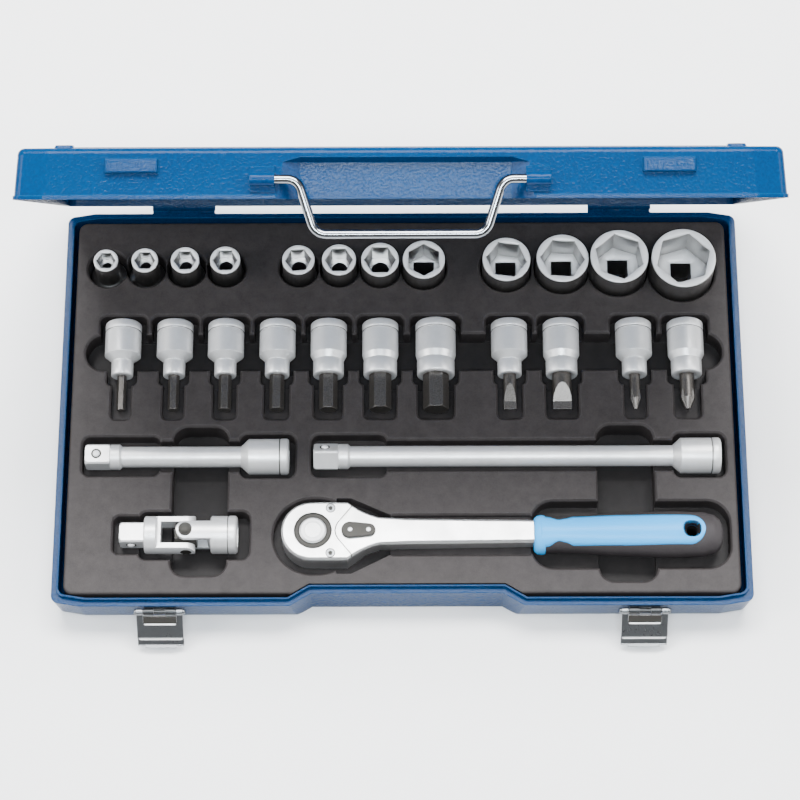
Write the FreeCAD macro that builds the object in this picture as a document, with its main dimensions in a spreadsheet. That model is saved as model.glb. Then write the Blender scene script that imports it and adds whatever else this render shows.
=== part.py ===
"""Half-inch drive socket wrench set in a hinged sheet-steel case.

Millimetres. The origin is the middle of the tray's underside, +X to the right, +Y to the
hinges at the back, +Z up. The lid is modelled shut and then swung open by lid_angle about
the hinge axis, which is the pose the set is stored in.
"""

import FreeCAD, Part
import math
import os
import re

from FreeCAD import Placement, Rotation, Vector

doc = FreeCAD.newDocument("SocketSet")
sheet = doc.addObject("Spreadsheet::Sheet", "Sizes")

SIZES = {
    # case
    "case_width": 424.5, "case_depth": 263.0, "seat_height": 26.0, "lid_height": 28.5,
    "sheet_steel": 1.0, "draft": 5.0, "collar_rise": 3.0, "collar_inset": 3.4,
    "corner_radius": 5.0, "edge_radius": 4.0, "inner_radius": 2.8, "front_bulge": 2.0, "bulge_slope": 12.0,
    "hem_height": 2.2, "hem_proud": 0.5, "lid_gap": 0.3, "lid_angle": 64.5,
    "recess_middle": 3.0, "recess_half": 71.0, "recess_slope": 13.0, "recess_depth": 7.9,
    "recess_rise": 20.0, "recess_fade": 4.5,
    "plateau_inset": 20.0, "plateau_rise": 1.0, "bump_span": 184.0, "bump_size": 11.0,
    "bump_inset": 12.0, "bump_rise": 1.6,
    "keeper_width": 29.0, "keeper_low": 14.5, "keeper_high": 22.5, "keeper_face": 133.0,
    # hinges
    "hinge_offset": 5.0, "hinge_span": 138.8, "knuckle_length": 10.0, "knuckle_radius": 2.5,
    "hinge_pin_radius": 1.25, "hinge_bore_radius": 1.3, "leaf_steel": 1.1, "leaf_reach": 13.0,
    # carrying handle, measured on the shut lid's front
    "wire_radius": 2.5, "handle_height": 11.0, "handle_plane": 133.4, "handle_end": 81.0,
    "handle_shoulder": 56.0, "handle_grip": 46.5, "handle_drop": 30.0, "handle_bend": 8.0,
    "bracket_inner": 68.5, "bracket_outer": 82.0, "bracket_wall": 1.0,
    # latches
    "latch_span": 146.5, "latch_width": 28.0, "latch_axis_height": 23.5,
    "latch_axis_offset": 2.7, "latch_steel": 1.0, "latch_angle": 48.0, "latch_pin_radius": 1.2,
    "latch_bore_radius": 1.25, "latch_knuckle_radius": 2.1, "window_half": 10.2,
    # moulded insert
    "insert_width": 410.0, "insert_depth": 248.6, "insert_top": 28.0, "insert_wall": 1.0,
    "insert_under": 1.05, "insert_corner": 6.0, "pocket_flare": 1.3, "well_floor": 2.1,
    # tools: half-inch drive
    "drive_square": 12.7, "drive_length": 15.0, "drive_hole": 12.9, "drive_depth": 15.5,
    "lying_height": 26.0, "shaft_radius": 6.4, "head_radius": 11.0, "collar_radius": 7.8,
    "socket_base": 2.2, "socket_row": 92.0,
    # bit sockets
    "bit_back": 54.0, "bit_head_length": 21.5, "bit_taper_length": 4.0,
    "bit_nose_end": 21.0, "bit_tip": -4.0, "bit_ring_length": 6.0,
    # extension bars
    "bar_row": -35.0, "short_bar_start": -194.6, "short_bar_length": 125.0,
    "long_bar_start": -54.3, "long_bar_length": 250.0,
    # universal joint
    "joint_row": -86.0, "joint_start": -171.7, "joint_centre": -131.4, "joint_end": -100.3,
    "yoke_radius": 11.5, "ear_gap": 6.8, "ear_half": 5.6, "cross_half": 6.5,
    "cross_pin_radius": 3.6, "cross_bore_radius": 3.65,
    # ratchet
    "ratchet_x": -54.0, "ratchet_row": -87.5, "ratchet_top": 38.0, "ratchet_head_depth": 19.0,
    "ratchet_head_half": 18.3, "ratchet_head_left": 19.2, "ratchet_head_right": 21.0,
    "neck_start": 40.0, "neck_half": 8.7, "neck_hollow": 1.3, "shank_half": 7.2, "shank_end": 133.9,
    "neck_top": 37.4, "neck_bottom": 25.0, "tang_radius": 5.0, "tang_end": 222.0,
    "disc_radius": 8.2, "ring_radius": 11.3, "gear_radius": 12.6, "gear_depth": 8.0,
    "cover_depth": 2.0, "lever_x": 22.5, "lever_radius": 5.2, "lever_tip": 15.5,
    "lever_tip_radius": 4.0, "lever_depth": 1.8, "screw_x": 10.7, "screw_y": 14.4,
    "screw_radius": 2.6, "grip_start": 134.0, "grip_end": 248.5, "grip_middle": 28.5,
    "grip_core_half": 9.6,
}

# size: place across the case, mouth diameter, base diameter, length, hexagon depth, turn
SOCKETS = {
    10: (-185.7, 15.5, 22.4, 38.5, 10.5, 0), 11: (-161.3, 16.9, 22.4, 38.5, 10.5, 0),
    12: (-136.0, 18.2, 22.4, 38.5, 11.0, 2), 13: (-110.8, 19.2, 22.4, 38.5, 11.5, 0),
    14: (-64.8, 20.6, 22.4, 38.5, 12.5, 5), 15: (-39.3, 21.6, 22.6, 38.5, 15.0, 1),
    17: (-13.5, 23.8, 23.0, 38.5, 16.5, 0), 19: (14.0, 26.6, 24.6, 38.5, 18.0, 30),
    22: (65.9, 30.2, 28.0, 38.5, 19.0, -8), 24: (101.1, 32.9, 30.0, 40.0, 19.0, -4),
    27: (136.6, 36.6, 33.0, 42.5, 20.0, 40), 30: (176.6, 40.2, 36.0, 44.0, 22.0, 17),
}
# name: place across the case, head diameter, nose diameter, size of the bit
BITS = {
    "hex_5": (-174.3, 22.5, 13.0, 5.0), "hex_6": (-141.9, 22.5, 13.0, 6.0),
    "hex_7": (-110.0, 22.5, 13.0, 7.0), "hex_8": (-77.7, 22.5, 14.6, 8.0),
    "hex_10": (-45.7, 22.5, 18.4, 10.0), "hex_12": (-13.4, 22.5, 20.2, 12.0),
    "hex_14": (21.2, 25.0, 22.7, 14.0),
    "slot_8": (67.2, 22.5, 14.3, 8.0), "slot_10": (99.6, 22.5, 19.0, 12.0),
    "cross_2": (145.0, 22.5, 14.8, 6.5), "cross_3": (177.4, 22.5, 18.4, 9.0),
}
for number, row in SOCKETS.items():
    for key, value in zip(("x", "mouth", "base", "length", "depth", "turn"), row):
        SIZES[f"socket_{number}_{key}"] = float(value)
for name, row in BITS.items():
    for key, value in zip(("x", "head", "nose", "size"), row):
        SIZES[f"{name}_{key}"] = float(value)

for line, (alias, value) in enumerate(SIZES.items(), 1):
    sheet.set(f"A{line}", alias)
    sheet.set(f"B{line}", str(value))
    sheet.setAlias(f"B{line}", alias)
doc.recompute()

NODES = {}
ALONG = {
    "z": Rotation(), "x": Rotation(Vector(0, 1, 0), 90), "-x": Rotation(Vector(0, 1, 0), -90),
    "y": Rotation(Vector(1, 0, 0), -90), "-y": Rotation(Vector(1, 0, 0), 90),
    "-z": Rotation(Vector(1, 0, 0), 180),
}


def cell(alias):
    """A cell's number."""
    return float(getattr(sheet, alias))


def formula(text):
    """The same text with each cell's name written as the expression engine wants it."""
    return re.sub(r"[a-z][a-z_0-9]*", lambda m: f"Sizes.{m[0]}" if m[0] in SIZES else m[0], str(text))


def bind(item, **formulas):
    """Ties properties of an object to formulas over the sheet."""
    for name, text in formulas.items():
        item.setExpression(name, formula(text))
    return item


def place(item, at, along="z", turn=None):
    """Puts an object at three formulas, with its own z axis along the named direction."""
    item.Placement = Placement(Vector(), ALONG[along])
    if turn is not None:
        item.Placement = Placement(Vector(), ALONG[along].multiply(Rotation(Vector(0, 0, 1), turn)))
    for letter, text in zip("xyz", at):
        item.setExpression(f"Placement.Base.{letter}", formula(text))
    return item


def cylinder(radius, height, at, along="z"):
    item = bind(doc.addObject("Part::Cylinder", "Cylinder"), Radius=radius, Height=height)
    return place(item, at, along)


def cone(low, high, height, at, along="z"):
    item = bind(doc.addObject("Part::Cone", "Cone"), Radius1=low, Radius2=high, Height=height)
    return place(item, at, along)


def box(low, size):
    item = bind(doc.addObject("Part::Box", "Box"), Length=size[0], Width=size[1], Height=size[2])
    return place(item, low)


def hexagon(across_flats, height, at, along="z", turn=0):
    item = doc.addObject("Part::Prism", "Hexagon")
    item.Polygon = 6
    bind(item, Circumradius=f"({across_flats}) / 2 / cos(30deg)", Height=height)
    return place(item, at, along, turn)


def fuse(*items):
    item = doc.addObject("Part::MultiFuse", "Fuse")
    item.Shapes = list(items)
    item.Refine = True
    return item


def cut(base, *tools):
    item = doc.addObject("Part::Cut", "Cut")
    item.Base = base
    item.Tool = tools[0] if len(tools) == 1 else fuse(*tools)
    item.Refine = True
    return item


def common(first, second):
    item = doc.addObject("Part::Common", "Common")
    item.Base, item.Tool = first, second
    return item


def group(*items):
    """Separate solids that share one node."""
    item = doc.addObject("Part::Compound", "Group")
    item.Links = list(items)
    return item


def feature(shape):
    item = doc.addObject("Part::Feature", "Form")
    item.Shape = shape
    return item


def node(name, item):
    """Names the finished sub-part."""
    item.Label = name
    NODES[name] = item
    return item


def turned(steps, at, along):
    """A round bar of cylinders and cones, each (length, radius at its start, radius at its end)."""
    letter = along[-1]
    sign = "-" if along[0] == "-" else "+"
    pieces, run = [], "0"
    for length, first, last in steps:
        spot = [f"{text} {sign} ({run})" if axis == letter else text for axis, text in zip("xyz", at)]
        if first == last:
            pieces.append(cylinder(first, length, spot, along))
        else:
            pieces.append(cone(first, last, length, spot, along))
        run = f"{run} + {length}"
    return fuse(*pieces) if len(pieces) > 1 else pieces[0]


def wire(points, closed=True):
    """Straight sides through the points; a triple with a middle point is an arc."""
    corners = points + points[:1] if closed else points
    edges = []
    for here, there in zip(corners, corners[1:]):
        start, end = here[-1], there[0]
        if (start - end).Length > 1e-6:
            edges.append(Part.LineSegment(start, end).toShape())
        if len(there) == 3:
            edges.append(Part.Arc(*there).toShape())
    return Part.Wire(edges)


def rounded(low_x, high_x, low_y, high_y, z, radius):
    """A flat rectangle's outline with rounded corners."""
    radius = min(radius, (high_x - low_x) / 2 - 0.01, (high_y - low_y) / 2 - 0.01)
    bow = radius * (1 - math.sqrt(0.5))
    corners = []
    for x, y, dx, dy in ((low_x, low_y, 1, 1), (high_x, low_y, -1, 1),
                         (high_x, high_y, -1, -1), (low_x, high_y, 1, -1)):
        along = Vector(x + dx * radius, y, z)
        across = Vector(x, y + dy * radius, z)
        middle = Vector(x + dx * bow, y + dy * bow, z)
        corners.append((across, middle, along) if dx == dy else (along, middle, across))
    return wire(corners)


def plan(width, depth, z):
    """The case's outline at one height: round corners, and long sides that swell a little."""
    half_x, half_y, radius = width / 2, depth / 2, cell("corner_radius")
    bulge, slope = cell("front_bulge"), cell("bulge_slope")
    edge_y, bow = half_y - bulge, radius * (1 - math.sqrt(0.5))
    points = []
    for sx, sy in ((-1, -1), (1, -1), (1, 1), (-1, 1)):
        side = Vector(sx * half_x, sy * (edge_y - radius), z)
        middle = Vector(sx * (half_x - bow), sy * (edge_y - bow), z)
        front = Vector(sx * (half_x - radius), sy * edge_y, z)
        swell = (Vector(sx * (half_x - radius - slope), sy * half_y, z),)
        arc = (side, middle, front) if sx == sy else (front, middle, side)
        points += [arc, swell] if sx == sy else [swell, arc]
    return wire(points)


def recess(grow, low, high, fade=0.0):
    """The bay in the front for the handle, as a solid to cut away, grown by a wall's thickness."""
    middle, half, slope = cell("recess_middle"), cell("recess_half"), cell("recess_slope")
    depth, front = cell("recess_depth"), -cell("case_depth") / 2
    outside = 12.0
    flare = slope / depth
    side = math.hypot(1, flare) * grow
    corner = side - grow * flare
    wide = half + side + outside * flare
    narrow = half - slope + corner

    def outline(z, back):
        return wire([(Vector(middle - wide, front - outside - back, z),),
                     (Vector(middle + wide, front - outside - back, z),),
                     (Vector(middle + narrow, front + depth + grow - back, z),),
                     (Vector(middle - narrow, front + depth + grow - back, z),)])

    solid = Part.Face(outline(low, 0)).extrude(Vector(0, 0, high - low))
    if fade:
        top = Part.makeLoft([outline(high, 0), outline(high + fade, depth + 1)], True, True)
        solid = solid.fuse(top)
    return solid


def loft(*wires):
    return Part.makeLoft(list(wires), True, True)


def soften(shape, radius, level):
    """Rounds the edges that lie at one height."""
    edges = [e for e in shape.Edges if abs(e.BoundBox.ZMin - level) < 1e-4 and e.BoundBox.ZLength < 1e-4]
    return shape.makeFillet(radius, edges)


# ---------------------------------------------------------------- case
WIDTH, DEPTH = cell("case_width"), cell("case_depth")
SEAT, STEEL = cell("seat_height"), cell("sheet_steel")
LEAN = math.tan(math.radians(cell("draft")))
HINGE = Vector(0, DEPTH / 2 + cell("hinge_offset"), SEAT)
OPEN = Placement(Vector(), Rotation(Vector(1, 0, 0), -cell("lid_angle")), HINGE)


def tray_shell():
    """Pressed pan with a shoulder for the lid and an upright collar inside it."""
    inset, rise = cell("collar_inset"), cell("collar_rise")
    lean = SEAT * LEAN
    top = SEAT + rise
    outer = soften(loft(plan(WIDTH - 2 * lean, DEPTH - 2 * lean, 0), plan(WIDTH, DEPTH, SEAT)),
                   cell("edge_radius"), 0)
    outer = outer.cut(recess(0, -1, SEAT + 1))
    collar = Part.Face(plan(WIDTH - 2 * inset, DEPTH - 2 * inset, SEAT)).extrude(Vector(0, 0, rise))
    collar = collar.cut(recess(inset, SEAT - 1, top + 1))
    lean_up = (SEAT - STEEL) * LEAN
    hollow = soften(loft(plan(WIDTH - 2 * (lean_up + STEEL), DEPTH - 2 * (lean_up + STEEL), STEEL),
                         plan(WIDTH - 2 * STEEL, DEPTH - 2 * STEEL, SEAT - STEEL)),
                    cell("inner_radius"), STEEL)
    hollow = hollow.cut(recess(STEEL, 0, SEAT))
    inside = inset + STEEL
    mouth = Part.Face(plan(WIDTH - 2 * inside, DEPTH - 2 * inside, SEAT - STEEL - 1))
    mouth = mouth.extrude(Vector(0, 0, rise + STEEL + 2)).cut(recess(inside, 0, top + 2))
    return feature(outer.fuse(collar).cut(hollow.fuse(mouth)).removeSplitter())


def lid_shell():
    """Pressed lid with a hemmed rim, the handle's bay, two catch ridges and four stacking bumps."""
    base, top = SEAT + cell("lid_gap"), SEAT + cell("lid_height")
    proud, hem = cell("hem_proud"), cell("hem_height")
    lean = (top - base) * LEAN
    wall_w, wall_d = WIDTH - 2 * proud, DEPTH - 2 * proud
    outer = soften(loft(plan(wall_w, wall_d, base), plan(wall_w - 2 * lean, wall_d - 2 * lean, top)),
                   cell("edge_radius"), top)
    band = Part.Face(plan(WIDTH, DEPTH, base)).extrude(Vector(0, 0, hem))
    outer = outer.fuse(band).cut(recess(0, base - 1, base + cell("recess_rise"), cell("recess_fade")))
    inner_top = top - STEEL
    lean_in = (inner_top - base) * LEAN
    hollow = soften(loft(plan(wall_w - 2 * STEEL, wall_d - 2 * STEEL, base - 0.01),
                         plan(wall_w - 2 * (STEEL + lean_in), wall_d - 2 * (STEEL + lean_in), inner_top)),
                    cell("inner_radius"), inner_top)
    hollow = hollow.cut(recess(STEEL, base - 2, base + cell("recess_rise") + STEEL, cell("recess_fade")))
    rise, back = cell("plateau_rise"), cell("plateau_inset")
    plate = loft(rounded(-WIDTH / 2 + back, WIDTH / 2 - back, -DEPTH / 2 + back, DEPTH / 2 - back, top, 8),
                 rounded(-WIDTH / 2 + back + 3, WIDTH / 2 - back - 3, -DEPTH / 2 + back + 3,
                         DEPTH / 2 - back - 3, top + rise, 6))
    under = plate.copy()
    under.translate(Vector(0, 0, -STEEL))
    shell = outer.fuse(plate).cut(hollow.fuse(under))
    size, inset = cell("bump_size"), cell("bump_inset")
    for sx in (-1, 1):
        for sy in (-1, 1):
            x, y = sx * cell("bump_span"), sy * (DEPTH / 2 - inset)
            bump = loft(rounded(x - size / 2, x + size / 2, y - size / 2, y + size / 2, top, 2.5),
                        rounded(x - size / 2 + 0.8, x + size / 2 - 0.8, y - size / 2 + 0.8,
                                y + size / 2 - 0.8, top + cell("bump_rise"), 2))
            shell = shell.fuse(bump)
    half, face = cell("keeper_width") / 2, -cell("keeper_face")
    low, high = SEAT + cell("keeper_low"), SEAT + cell("keeper_high")
    for sx in (-1, 1):
        x = sx * cell("latch_span")
        ridge = Part.makeBox(2 * half, 4.6, high - low, Vector(x - half, face, low))
        edges = [e for e in ridge.Edges if e.BoundBox.YMax < face + 1e-4]
        shell = shell.fuse(ridge.makeFillet(1.2, edges))
    return feature(shell.removeSplitter())


def leaf(points, x, length):
    """A bent strip: its section across the case, drawn out along X."""
    corners = [(Vector(x, y, z),) for y, z in points]
    return Part.Face(wire(corners)).extrude(Vector(length, 0, 0))


def knuckle(x, length, radius, bore, y, z):
    barrel = Part.makeCylinder(radius, length, Vector(x, y, z), Vector(1, 0, 0))
    return barrel, Part.makeCylinder(bore, length + 2, Vector(x - 1, y, z), Vector(1, 0, 0))


def hinge_leaves(for_lid):
    """Two leaves, left and right, each with every second knuckle of its hinge."""
    y, z = HINGE.y, HINGE.z
    radius, bore = cell("knuckle_radius"), cell("hinge_bore_radius")
    steel, length, reach = cell("leaf_steel"), cell("knuckle_length"), cell("leaf_reach")
    wall = DEPTH / 2 + 0.1
    leaves = []
    for side in (-1, 1):
        start = side * cell("hinge_span") - 2 * length
        if for_lid:
            arm = [(wall + 0.2, z + radius - steel), (y, z + radius - steel), (y, z + radius),
                   (wall + 0.2, z + radius)]
            foot = wall - 0.25 - reach * LEAN
            flange = [(wall + 0.2, z + radius - steel), (wall + 0.2 + steel, z + radius - steel),
                      (foot + steel, z + reach), (foot, z + reach)]
        else:
            arm = [(wall, z - radius), (y, z - radius), (y, z - radius + steel), (wall, z - radius + steel)]
            foot = wall - reach * LEAN
            flange = [(foot, z - reach), (foot + steel, z - reach), (wall + steel, z - radius + steel),
                      (wall, z - radius + steel)]
        shape = leaf(flange, start, 4 * length)
        for k in range(4):
            if (k % 2 == 1) == for_lid:
                x = start + k * length + 0.1
                barrel, hole = knuckle(x, length - 0.2, radius, bore, y, z)
                shape = shape.fuse(leaf(arm, x, length - 0.2)).fuse(barrel).cut(hole)
        leaves.append(feature(shape.removeSplitter()))
    return group(*leaves)


def hinge_pins():
    length = "4 * knuckle_length"
    return group(*[cylinder("hinge_pin_radius", length,
                            (f"{side} * hinge_span - 2 * knuckle_length",
                             "case_depth / 2 + hinge_offset", "seat_height"), "x")
                   for side in (-1, 1)])


def round_path(points, radius):
    """A wire through points whose corners are rounded."""
    edges, start = [], points[0]
    for before, here, after in zip(points, points[1:], points[2:]):
        back, on = (before - here).normalize(), (after - here).normalize()
        half = back.getAngle(on) / 2
        run = radius / math.tan(half)
        enter, leave = here + back * run, here + on * run
        middle = here + (back + on).normalize() * (radius / math.sin(half) - radius)
        edges += [Part.LineSegment(start, enter).toShape(), Part.Arc(enter, middle, leave).toShape()]
        start = leave
    edges.append(Part.LineSegment(start, points[-1]).toShape())
    return Part.Wire(edges)


def carry_handle():
    """Bent wire: two ends in their brackets, two sloping legs and the grip bar."""
    y, top = -cell("handle_plane"), SEAT + cell("handle_height")
    low = top - cell("handle_drop")
    end, shoulder, grip = cell("handle_end"), cell("handle_shoulder"), cell("handle_grip")
    points = [Vector(-end, y, top), Vector(-shoulder, y, top), Vector(-grip, y, low),
              Vector(grip, y, low), Vector(shoulder, y, top), Vector(end, y, top)]
    path = round_path(points, cell("handle_bend"))
    section = Part.Wire(Part.makeCircle(cell("wire_radius"), points[0], Vector(1, 0, 0)))
    return feature(path.makePipeShell([section], True, False))


def handle_brackets():
    """Two pressed straps, half round over the wire, spot-welded to the lid's front."""
    y, z = -cell("handle_plane"), SEAT + cell("handle_height")
    bore, skin = cell("wire_radius") + 0.15, cell("bracket_wall")
    wall_y = -DEPTH / 2 + cell("hem_proud") + (cell("handle_height") - cell("lid_gap")) * LEAN
    inner, outer = cell("bracket_inner"), cell("bracket_outer")
    half = bore + skin
    strap_half = half + 3.5
    brackets = []
    for side in (-1, 1):
        x = inner if side > 0 else -outer
        length = outer - inner
        strap = Part.makeBox(length, skin, 2 * strap_half, Vector(x, wall_y - skin - 0.1, z - strap_half))
        strap.rotate(Vector(0, wall_y, z), Vector(1, 0, 0), -cell("draft"))
        shape = Part.makeCylinder(half, length, Vector(x, y, z), Vector(1, 0, 0))
        shape = shape.fuse(Part.makeBox(length, wall_y - skin - y, 2 * half, Vector(x, y, z - half)))
        behind = Part.makeBox(length + 2, 10, 40, Vector(x - 1, wall_y - skin / 2 - 0.1, z - 20))
        behind.rotate(Vector(0, wall_y, z), Vector(1, 0, 0), -cell("draft"))
        hole = Part.makeCylinder(bore, length + 2, Vector(x - 1, y, z), Vector(1, 0, 0))
        gap = Part.makeBox(length + 2, wall_y - y + 5, 2 * bore, Vector(x - 1, y, z - bore))
        shape = shape.cut(behind).fuse(strap).cut([hole, gap])
        brackets.append(feature(shape))
    return group(*brackets)


LATCH_Y = -DEPTH / 2 - cell("latch_axis_offset")
LATCH_Z = cell("latch_axis_height")


def latch_plate(x):
    """Stamped plate: two curls round the pin, a window for the bracket, a raised catch and a lip."""
    steel, half = cell("latch_steel"), cell("latch_width") / 2
    radius, window = cell("latch_knuckle_radius"), cell("window_half")
    back, front = -0.9, -0.9 + steel
    # section upright, as when shut: outward distance from the axis and height above it
    inner = [(back, 0), (back, 17.5), (back + 2.0, 19.5), (back + 2.0, 23.6), (back + 0.6, 25.0)]
    outer = [(front + 0.9, 25.6), (front + 2.0, 24.2), (front + 2.0, 19.1), (front, 17.1), (front, 0)]
    corners = [(Vector(x - half, LATCH_Y - n, LATCH_Z + s),) for n, s in inner + outer]
    shape = Part.Face(wire(corners)).extrude(Vector(2 * half, 0, 0))
    for side in (-1, 1):
        start = x + side * (half + window) / 2 - (half - window) / 2
        barrel, hole = knuckle(start, half - window, radius, cell("latch_bore_radius"), LATCH_Y, LATCH_Z)
        shape = shape.fuse(barrel).cut(hole)
    opening = Part.makeBox(2 * window, 8, 11, Vector(x - window, LATCH_Y - 4, LATCH_Z - 4))
    shape = shape.cut(opening)
    for side in (-1, 1):
        notch = Part.makeBox(6, 12, 3, Vector(x + side * (half - 1.5) - 3, LATCH_Y - 6, LATCH_Z + 24.2))
        shape = shape.cut(notch)
    shape = shape.removeSplitter()
    shape.rotate(Vector(x, LATCH_Y, LATCH_Z), Vector(1, 0, 0), 90 + cell("latch_angle"))
    return feature(shape)


def latch_brackets():
    """Two hinge brackets riveted to the tray's front, each with a pair of knuckles."""
    radius, bore = cell("latch_knuckle_radius"), cell("latch_bore_radius")
    low, high, skin = 10.0, SEAT - 3.2, 1.0
    face = -DEPTH / 2 - 0.05
    base = face + (SEAT - low) * LEAN
    top = face + (SEAT - high) * LEAN
    brackets = []
    for side in (-1, 1):
        x = side * cell("latch_span")
        shape = leaf([(base, low), (base - skin, low), (top - skin, high), (top, high)], x - 9.5, 19)
        for start in (x - 9.5, x + 3.5):
            barrel, hole = knuckle(start, 6, radius, bore, LATCH_Y, LATCH_Z)
            arm = leaf([(top - skin, high), (top - skin, high - 2.4), (LATCH_Y, LATCH_Z - radius),
                        (LATCH_Y, LATCH_Z)], start, 6)
            shape = shape.fuse(barrel).fuse(arm).cut(hole)
        brackets.append(feature(shape.removeSplitter()))
    return group(*brackets)


def latch_pins():
    return group(*[cylinder("latch_pin_radius", "latch_width",
                            (f"{side} * latch_span - latch_width / 2",
                             "-case_depth / 2 - latch_axis_offset", "latch_axis_height"), "x")
                   for side in (-1, 1)])


def latch_rivets():
    """Bevelled heads, two to each bracket."""
    height = 14.0
    face = -DEPTH / 2 - 0.05 + (SEAT - height) * LEAN - 1.0
    heads = []
    for side in (-1, 1):
        for offset in (-6.0, 6.0):
            centre = Vector(side * cell("latch_span") + offset, face, height)
            head = Part.makeCone(2.1, 1.95, 0.4, centre, Vector(0, -1, 0))
            head = head.fuse(Part.makeCone(1.95, 1.1, 0.6, centre - Vector(0, 0.4, 0), Vector(0, -1, 0)))
            head.rotate(centre, Vector(1, 0, 0), cell("draft"))
            head.translate(Vector(0, -0.02, 0))
            heads.append(feature(head))
    return group(*heads)


# ---------------------------------------------------------------- moulded insert
def pockets():
    """Every well in the insert as (low x, high x, low y, high y, floor, corner radius)."""
    axis = cell("lying_height")
    spare = 0.45
    wells = []
    for number in SOCKETS:
        x = cell(f"socket_{number}_x")
        y = cell("socket_row") - (2.0 if number == 30 else 0.0)
        r = max(cell(f"socket_{number}_mouth"), cell(f"socket_{number}_base")) / 2 + 1.3
        wells.append((x - r, x + r, y - r, y + r, cell("well_floor"), r))
    for name in BITS:
        x, size = cell(f"{name}_x"), cell(f"{name}_size")
        head, nose = cell(f"{name}_head") / 2, cell(f"{name}_nose") / 2
        bit = size / 2 / math.cos(math.radians(30))
        wells.append((x - head - 3.3, x + head + 3.3, 38.0, 59.4, axis - head - spare, 4.0))
        wells.append((x - nose - 3.0, x + nose + 3.0, 12.3, 32.0, axis - nose - spare, 3.5))
        wells.append((x - bit - 3.2, x + bit + 3.2, -10.6, 20.0, axis - bit - 1.0, 3.5))
    wells.append((-197.5, 200.2, 22.2, 46.8, axis - 13.2, 12.2))
    row, shaft = cell("bar_row"), axis - cell("shaft_radius") - spare
    head = axis - cell("head_radius") - spare
    collar = axis - cell("drive_square") * 0.71 - spare
    wells += [(-196.8, -148.7, row - 13.0, row + 13.0, collar, 5), (-150, -98, row - 10.2, row + 10.0, shaft, 3),
              (-99.9, -65.6, row - 14.4, row + 14.4, head, 5), (-140.9, -106.7, -112.8, -15.8, 10.0, 9),
              (-55.9, -9.3, row - 14.0, row + 14.0, collar, 5), (-11, 168, row - 10.1, row + 10.1, shaft, 3),
              (166.7, 199, row - 14.6, row + 14.5, head, 5), (119.8, 154.9, -117.0, -15.0, 10.0, 9)]
    row = cell("joint_row")
    wells += [(-176.1, -155.0, row - 12.6, row + 12.0, axis - 8.5, 4),
              (-160.6, -92.9, row - 16.2, row + 14.8, axis - cell("yoke_radius") - spare, 5)]
    x, row = cell("ratchet_x"), cell("ratchet_row")
    head_floor = cell("ratchet_top") - cell("ratchet_head_depth") - spare
    wells += [(x - 24.4, x + 27.0, row - 24.4, row + 24.4, head_floor, 24.2),
              (x - 12.5, x + 12.5, row - 12.5, row + 12.5, 3.0, 12.5),
              (x + 46, 80.0, row - 12.2, row + 13.4, cell("neck_bottom") - 1.5, 3),
              (78.5, 199.6, row - 21.0, row + 22.4, cell("grip_middle") - 13.4, 14)]
    return wells


def tool_insert():
    """Thin moulded tray: a deck with a skirt, and walls and floors round every well."""
    top, wall, under = cell("insert_top"), cell("insert_wall"), cell("insert_under")
    half_x, half_y = cell("insert_width") / 2, cell("insert_depth") / 2
    corner, flare = cell("insert_corner"), cell("pocket_flare")
    clear = cell("collar_inset") + STEEL + 1.2

    def prism(edges, low, high, radius):
        return Part.Face(rounded(*edges, low, radius)).extrude(Vector(0, 0, high - low))

    outer = soften(prism((-half_x, half_x, -half_y, half_y), under, top, corner), 1.6, top)
    outer = outer.cut(recess(clear, 0, top + 1))
    inner = prism((-half_x + wall, half_x - wall, -half_y + wall, half_y - wall), 0, top - wall, corner - wall)
    inner = inner.cut(recess(clear + wall, -1, top))
    walls, holes = [], []
    for low_x, high_x, low_y, high_y, floor, radius in pockets():
        around = (low_x - wall, high_x + wall, low_y - wall, high_y + wall)
        walls.append(prism(around, floor - wall, top - wall / 2, radius + wall))
        holes.append(prism((low_x, high_x, low_y, high_y), floor, top + 1, radius))
        wide = (low_x - flare, high_x + flare, low_y - flare, high_y + flare)
        holes.append(loft(rounded(low_x, high_x, low_y, high_y, top - flare, radius),
                          rounded(*wide, top, radius + flare)))
    x, row = cell("ratchet_x"), cell("ratchet_row")
    left, right = x + 14, x + 47
    floor = cell("ratchet_top") - cell("ratchet_head_depth") - 0.45

    def funnel(grow, low, high):
        edge = [(left, row - 24.3 - grow), (x + 23, row - 24.3 - grow), (right, row - 12.2 - grow),
                (right, row + 13.4 + grow), (x + 23, row + 24.3 + grow), (left, row + 24.3 + grow)]
        return Part.Face(wire([(Vector(px, py, low),) for px, py in edge])).extrude(Vector(0, 0, high - low))

    walls.append(funnel(wall, floor - wall, top - wall / 2))
    holes.append(funnel(0, floor, top + 1))
    shell = outer.cut(inner)
    shell = shell.fuse(walls)
    shell = shell.cut(holes)
    return feature(shell.removeSplitter())


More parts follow.
